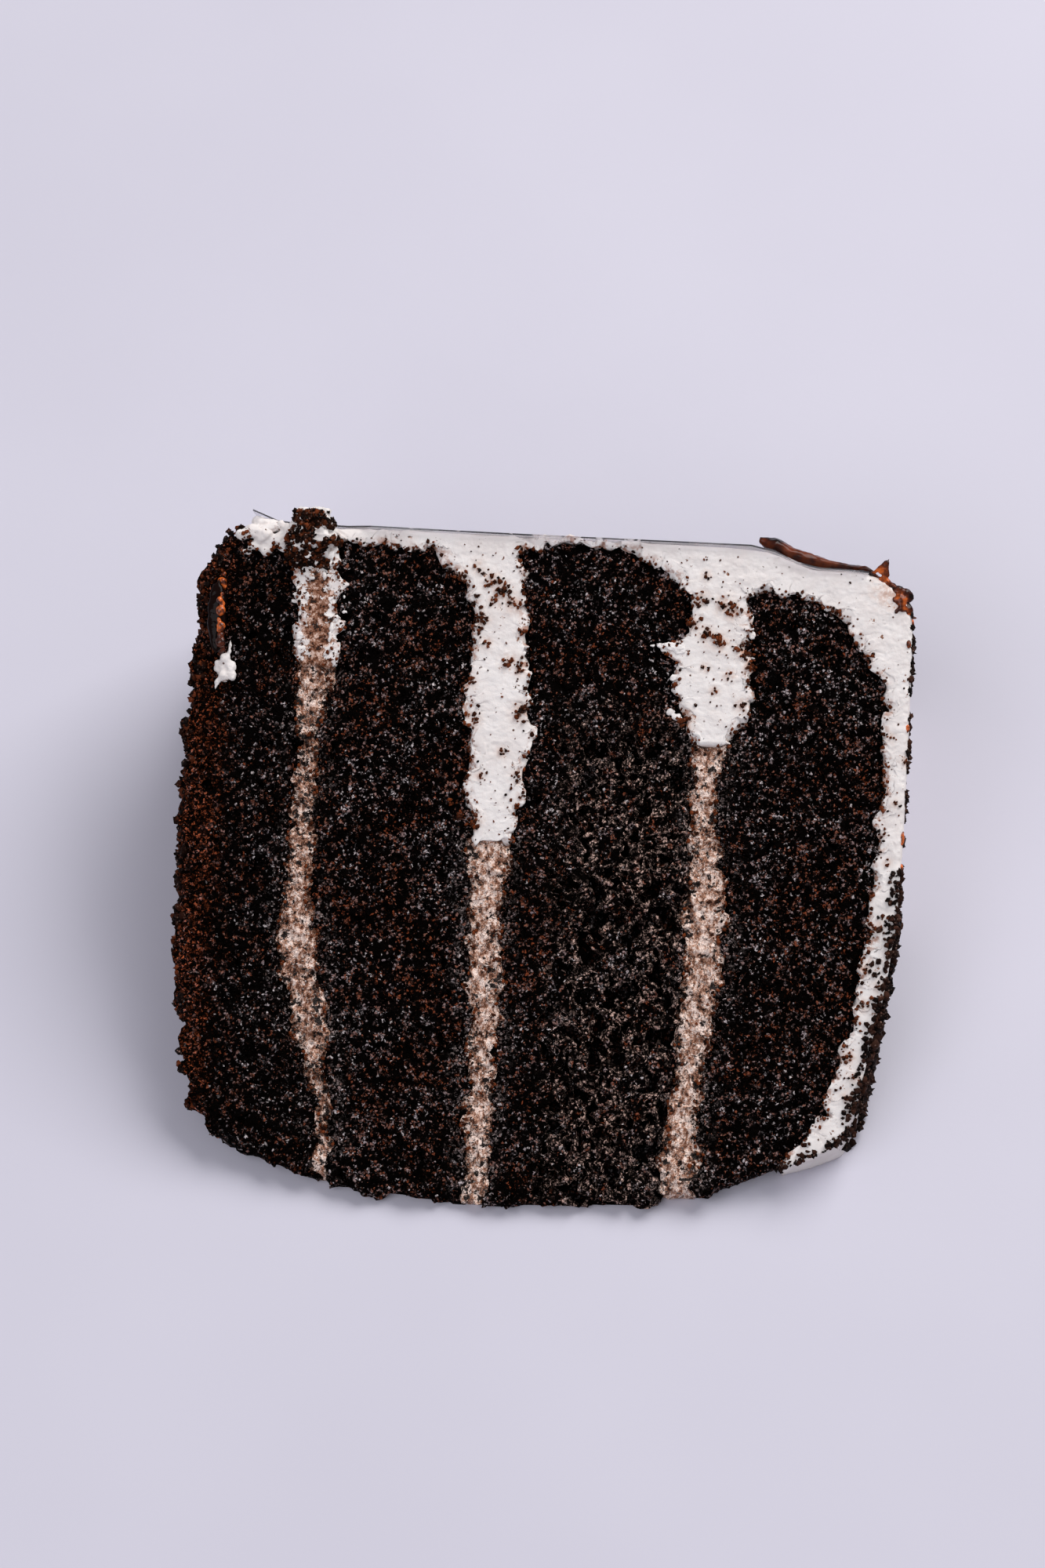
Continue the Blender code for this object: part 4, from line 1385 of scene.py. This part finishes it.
@dataclass
class Collar:
    """The clear film round the rim, slightly wavy."""

    finish: FilmFinish

    def build(self) -> bpy.types.Object:
        """Remakes the film with finer faces and soft waves."""
        piece = copied("collar_film", "collar_film_clear")
        modify(piece, "SUBSURF", subdivision_type="SIMPLE", levels=2, render_levels=2)
        r = Relief("film_relief")
        wave = r.wave(r.place, 16.0, 1.0)
        shift = r.scaled((0.15, 0.55, 0.25), r.times(wave, 0.8 * MM))
        r.move(r.scaled(shift, r.off_table))
        r.press(piece)
        piece.data.set_sharp_from_angle(angle=math.radians(40))
        piece.data.materials.append(self.finish.material())
        return place_piece(piece, Slot.FILM, "collar_film")


@dataclass
class SoftSpot:
    """A small solid of glaze that is remade with a smooth, uneven skin.

    Sizes are in millimetres. It is swollen a little, so that its thin ends hold together, and
    its underside can be bedded into the torn surface that carries it.
    """

    node: str
    name: str
    finish: GlazeFinish
    voxel: float = 0.32
    swollen: float = 0.14
    bedded: float = 0.0
    unevenness: float = 0.5
    lump: float = 2.2

    def build(self) -> bpy.types.Object:
        """Remakes the solid with its relief and finish."""
        piece = copied(self.node, self.name)
        swell(piece, self.swollen)
        modify(piece, "REMESH", mode="VOXEL", voxel_size=self.voxel * MM)
        modify(piece, "SMOOTH", factor=0.5, iterations=4)
        r = Relief(self.name + "_relief")
        wave = r.wave(r.place, self.lump)
        underside = r.span(r.along(r.normal, CUT_NORMAL), 0.2, -0.4)
        sunk = r.lift(-self.bedded, underside)
        r.move(r.bulge(r.times(wave, 2 * self.unevenness), r.off_table), sunk)
        r.press(piece)
        piece.data.materials.append(self.finish.material())
        return place_piece(piece, Slot.GLAZE, self.node)


@dataclass
class Studio:
    """The plain table, soft light and camera.

    The camera looks along the photograph's angle: a long lens, well above the table, rolled a
    little so that the slice leans clockwise.
    """

    elevation: float = 60.2
    roll: float = 3.0
    distance: float = 0.71
    lens: float = 105.0
    target: Vector = field(default_factory=lambda: cut_point(0.0, 70.0))

    def build(self) -> None:
        """Sets up the table, the lights and the camera."""
        self.table()
        self.light("window", Vector((0.55, 0.65, 1.0)), 0.9, 16.0, (1.0, 0.99, 0.98))
        self.light("fill", Vector((-0.5, -0.5, 0.9)), 0.8, 5.0, (0.93, 0.94, 1.0))
        world = bpy.data.worlds.new("studio")
        world.use_nodes = True
        background = world.node_tree.nodes["Background"]
        background.inputs["Color"].default_value = (0.90, 0.90, 0.96, 1.0)
        background.inputs["Strength"].default_value = 0.34
        bpy.context.scene.world = world
        bpy.context.scene.view_settings.view_transform = "Standard"
        self.camera()

    @staticmethod
    def table() -> None:
        """Lays the pale table under the slice."""
        bpy.ops.mesh.primitive_plane_add(size=16.0)
        table = bpy.context.active_object
        table.name = "table"
        table.data.materials.append(TableFinish("table_top").material())

    @staticmethod
    def light(name: str, place: Vector, size: float, power: float, colour: Colour) -> None:
        """Hangs a square soft light that faces the slice.

        Args:
            name: the light's name.
            place: where it hangs.
            size: its width in metres.
            power: its power in watts.
            colour: its colour.
        """
        turn = place.to_track_quat("Z", "Y").to_euler()
        bpy.ops.object.light_add(type="AREA", location=place, rotation=turn)
        lamp = bpy.context.active_object
        lamp.name = name
        lamp.data.size = size
        lamp.data.energy = power
        lamp.data.color = colour

    def camera(self) -> None:
        """Aims the camera at the middle of the upper cut."""
        tilt = math.radians(self.elevation)
        back = Vector((0.0, -math.cos(tilt), math.sin(tilt)))
        turn = back.to_track_quat("Z", "Y").to_matrix() @ Euler((0, 0, math.radians(self.roll))).to_matrix()
        bpy.ops.object.camera_add(location=self.target + back * self.distance, rotation=turn.to_euler())
        camera = bpy.context.active_object
        camera.name = "view"
        camera.data.lens = self.lens
        camera.data.clip_start = 0.01
        bpy.context.scene.camera = camera


def cream_dab(finish: CreamFinish) -> SoftCluster:
    """The dab of cream at the base edge, with a drawn-out tail."""
    rows = (
        (-47.1, 87.0, 0.9, 1.0, 0.7, 0.2), (-47.6, 85.7, 1.3, 1.3, 0.9, 0.3),
        (-46.2, 85.9, 0.8, 0.9, 0.7, 0.2), (-47.0, 84.5, 1.1, 1.0, 0.8, 0.3),
        (-45.8, 84.4, 0.6, 0.7, 0.6, 0.2), (-48.3, 86.3, 0.5, 0.6, 0.5, 0.1),
        (-46.5, 89.3, 0.18, 0.8, 0.3, 0.1), (-46.6, 88.1, 0.3, 0.9, 0.4, 0.1),
        (-48.0, 83.5, 0.45, 0.7, 0.4, 0.1), (-48.4, 82.8, 0.2, 0.7, 0.3, 0.0),
    )
    return SoftCluster("cream_dab", Slot.CREAM, finish, dabs(*rows), unevenness=0.42, lump=0.9)


def cream_patch(finish: CreamFinish) -> SoftCluster:
    """The cream smeared over the first sponge's rim corner and the far top of the lump."""
    rows = (
        (-45.4, 106.5, 1.2, 0.9, 0.8), (-43.8, 107.1, 1.5, 1.1, 0.9), (-42.3, 106.6, 1.5, 1.4, 0.9),
        (-41.2, 105.6, 1.4, 1.3, 0.8), (-43.3, 104.9, 1.5, 0.8, 0.6), (-44.9, 103.8, 1.0, 0.4, 0.4),
        (-41.8, 104.2, 1.1, 0.9, 0.6), (-39.8, 106.1, 1.1, 1.1, 0.8), (-39.3, 105.0, 0.7, 1.1, 0.6),
        (-38.8, 107.4, 0.7, 1.2, 0.7), (-39.6, 108.3, 0.5, 0.9, 0.5), (-36.8, 110.3, 0.9, 0.5, 0.6, 0.3),
        (-35.4, 110.5, 1.0, 0.5, 0.7, 0.3), (-33.8, 110.1, 0.8, 0.5, 0.6, 0.3),
        (-36.2, 109.2, 0.5, 0.4, 0.4, 0.2), (-32.8, 108.4, 0.3, 0.7, 0.4, 0.2),
        (-43.0, 108.7, 1.3, 0.9, 0.7, -0.7), (-41.2, 108.5, 1.4, 0.9, 0.7, -0.7),
    )
    return SoftCluster("cream_patch", Slot.CREAM, finish, dabs(*rows), unevenness=0.5, lump=1.0)


def ring_smears(finish: CreamFinish) -> SoftCluster:
    """Streaks of clean cream that run from the rings on to the sponges, most round the first ring."""
    rows = (
        (-35.1, 104.0, 0.7, 0.8, 0.3), (-35.5, 101.5, 0.7, 0.9, 0.3), (-34.5, 100.5, 0.7, 0.5, 0.3),
        (-33.8, 102.9, 0.3, 0.9, 0.25), (-31.7, 103.9, 0.7, 0.8, 0.3), (-30.9, 104.8, 0.5, 0.5, 0.3),
        (-31.6, 102.7, 0.5, 0.6, 0.3), (-36.6, 96.6, 0.8, 0.4, 0.25), (-34.9, 97.4, 0.5, 0.7, 0.25),
        (-35.9, 95.2, 0.25, 0.9, 0.25), (-36.1, 93.3, 0.25, 1.1, 0.25), (-35.8, 91.2, 0.6, 0.7, 0.3),
        (-36.3, 89.6, 0.4, 0.6, 0.25), (-35.4, 89.2, 0.7, 0.8, 0.3), (-35.8, 88.0, 0.3, 0.5, 0.2),
        (-32.4, 100.9, 0.3, 0.9, 0.25), (-31.5, 99.3, 0.3, 0.8, 0.25), (-30.1, 98.3, 0.7, 0.25, 0.2),
        (-29.2, 97.6, 0.2, 0.5, 0.2), (-29.0, 95.2, 0.5, 0.3, 0.2), (-30.2, 94.2, 0.5, 0.6, 0.25),
        (-30.9, 92.8, 0.35, 0.8, 0.3), (-31.1, 91.2, 0.3, 0.9, 0.25), (19.3, 92.6, 0.7, 0.22, 0.2),
        (20.5, 92.6, 0.9, 0.4, 0.25), (21.8, 92.5, 1.1, 0.7, 0.3), (23.2, 92.3, 1.2, 1.0, 0.3),
        (22.6, 87.7, 0.7, 0.5, 0.2), (23.1, 86.2, 0.4, 0.9, 0.2), (22.4, 82.4, 0.8, 0.6, 0.25),
        (23.4, 81.6, 1.0, 0.6, 0.25), (20.0, 92.9, 0.5, 0.2, 0.15), (34.6, 91.6, 0.7, 0.5, 0.2),
        (34.4, 95.0, 0.6, 0.7, 0.25),
    )
    return SoftCluster("ring_smears", Slot.CREAM, finish, dabs(*rows), unevenness=0.4, lump=0.8, voxel=0.16)


def glaze_corner(finish: GlazeFinish) -> SoftCluster:
    """The thin glaze smeared over the top corner of the cream, drawn out into a horn and a spike."""
    rows = (
        (54.2, 104.6, 0.7, 0.6, 0.35), (54.9, 104.4, 0.7, 0.6, 0.4), (55.7, 103.7, 0.9, 0.7, 0.5),
        (56.8, 103.1, 1.1, 0.8, 0.55), (57.8, 102.6, 1.1, 1.0, 0.6), (58.5, 102.2, 0.8, 0.9, 0.5),
        (57.2, 101.6, 1.0, 1.0, 0.55), (58.2, 101.2, 1.1, 1.2, 0.6), (57.5, 100.4, 0.7, 0.7, 0.45),
        (58.5, 100.2, 0.8, 0.9, 0.5), (59.1, 99.6, 0.5, 0.7, 0.4), (56.2, 101.6, 0.4, 0.5, 0.25),
        (56.6, 99.8, 0.35, 0.5, 0.2), (58.8, 94.8, 0.4, 0.7, 0.4), (59.2, 98.2, 0.35, 0.7, 0.35),
    )
    horn = (
        Spike(52.4, 105.5, 0.35, (1.7, 0.8, 0.2)), Spike(53.6, 105.8, 0.75, (1.0, 1.9, 0.3)),
        Spike(54.3, 105.4, 0.7, (0.8, 2.6, 0.3)), Spike(55.0, 105.2, 0.45, (-0.3, 2.6, 0.3)),
        Spike(59.1, 99.7, 0.5, (1.4, -0.2, 0.1)),
    )
    return SoftCluster(
        "glaze_corner", Slot.GLAZE, finish, dabs(*rows), unevenness=0.16, lump=0.9, spikes=horn, voxel=0.18
    )


def glaze_beads(finish: GlazeFinish) -> SoftCluster:
    """The amber beads on the streak of glaze, and traces of glaze on the top edge."""
    column = (
        (-48.4, 100.9, 0.42), (-48.0, 100.2, 0.30), (-48.3, 98.9, 0.66), (-47.9, 98.3, 0.40),
        (-48.0, 96.9, 0.30), (-48.3, 95.9, 0.50), (-47.8, 95.4, 0.36), (-48.1, 94.3, 0.68),
        (-48.3, 92.9, 0.30), (-47.9, 91.9, 0.60), (-48.2, 91.3, 0.34),
    )
    rows = [(height, radius, half * 1.15, half * 1.2, half * 1.1, 0.3) for height, radius, half in column]
    traces = ((59.3, 64.6, 1.2), (59.3, 81.7, 0.7), (59.6, 91.4, 0.5), (59.4, 60.2, 0.5))
    rows += [(height, radius, 0.35, half, 0.35) for height, radius, half in traces]
    return SoftCluster("glaze_beads", Slot.GLAZE, finish, dabs(*rows), unevenness=0.12, lump=0.8, voxel=0.16)


def glaze_drop(finish: GlazeFinish) -> SoftCluster:
    """The dark red drop at the lower end of the row of beads."""
    rows = (
        (-47.9, 90.6, 0.6, 0.7, 0.6, 0.2), (-47.85, 89.5, 0.85, 0.9, 0.75, 0.2),
        (-47.9, 88.5, 0.75, 0.8, 0.7, 0.2),
    )
    return SoftCluster("glaze_drop", Slot.GLAZE, finish, dabs(*rows), unevenness=0.15, lump=0.9, voxel=0.18)


def sponge_layers() -> list[SpongeLayer]:
    """The four sponges, each with its own crumb."""
    return [
        SpongeLayer("sponge_1", CrumbFinish("sponge_crumb_1", crust=1.0, smudge=0.25, bright=0.45)),
        SpongeLayer("sponge_2", CrumbFinish("sponge_crumb_2")),
        SpongeLayer(
            "sponge_3", CrumbFinish("sponge_crumb_3", webs=3.0),
            voxel=0.7, pore_side=(-2.0, 8.0), pore=2.2, pore_depth=1.6,
        ),
        SpongeLayer("sponge_4", CrumbFinish("sponge_crumb_4")),
    ]


def filling_layers() -> list[FillingLayer]:
    """The three fillings: the first is a little darker than the others."""
    tones = (-0.008, 0.010, 0.010)
    return [FillingLayer(name, FillingFinish(name + "_cream", tone)) for name, tone in zip(FILLINGS, tones)]


def main() -> None:
    """Builds the slice's pieces in order, then the studio."""
    logging.basicConfig(level=logging.INFO, format="%(name)s: %(message)s")
    ground = Ground()
    for layer in sponge_layers():
        ground.add(layer.build(), Slot.SPONGE)
    for layer in filling_layers():
        ground.add(layer.build(), Slot.FILLING)
    cream = CreamFinish("whipped_cream")
    ground.add(CreamCoat(cream).build(), Slot.CREAM)
    set_glaze = GlazeFinish("set_glaze", thin=0.03, patch=5.0, amber=(0.17, 0.034, 0.012))
    SoftSpot("glaze", "glaze_drips", set_glaze).build()
    dark = GlazeFinish("dark_glaze", thin=-0.3, gloss=0.07)
    ground.add(SoftSpot("glaze_smear", "glaze_streak", dark, bedded=1.4).build(), Slot.GLAZE)
    Collar(FilmFinish("clear_film")).build()
    glaze_corner(GlazeFinish("thin_glaze", thin=0.08, patch=2.4, gloss=0.2)).build(ground)
    red = GlazeFinish("red_glaze", thin=0.06, patch=1.4, gloss=0.3, amber=(0.16, 0.016, 0.006))
    glaze_drop(red).build(ground)
    glaze_beads(GlazeFinish("amber_glaze", thin=0.17, patch=1.2, gloss=0.4)).build(ground)
    cream_dab(cream).build(ground, "cream_smear")
    patch = cream_patch(cream).build(ground)
    ring_smears(cream).build(ground)
    ground.add(patch, Slot.CREAM)
    shapes, fine_shapes = CrumbShapes(8, 6, 4, 40), CrumbShapes(6, 5, 3, 60)
    biscuit = LooseCrumbFinish("biscuit_crumb", dark=(0.003, 0.0015, 0.0012), light=(0.055, 0.021, 0.013))
    Topping(biscuit).build(ground, shapes)
    moist = LooseCrumbFinish("sponge_bits", dark=(0.005, 0.002, 0.0012), light=(0.18, 0.042, 0.013))
    Strays(moist).build(ground, shapes)
    BorderCrumbs(moist).build(ground, fine_shapes)
    base = LooseCrumbFinish("base_bits", dark=(0.003, 0.0011, 0.0008), light=(0.16, 0.036, 0.012))
    BaseClumps(base).build(ground, shapes)
    Studio().build()


if __name__ == "__main__":
    main()
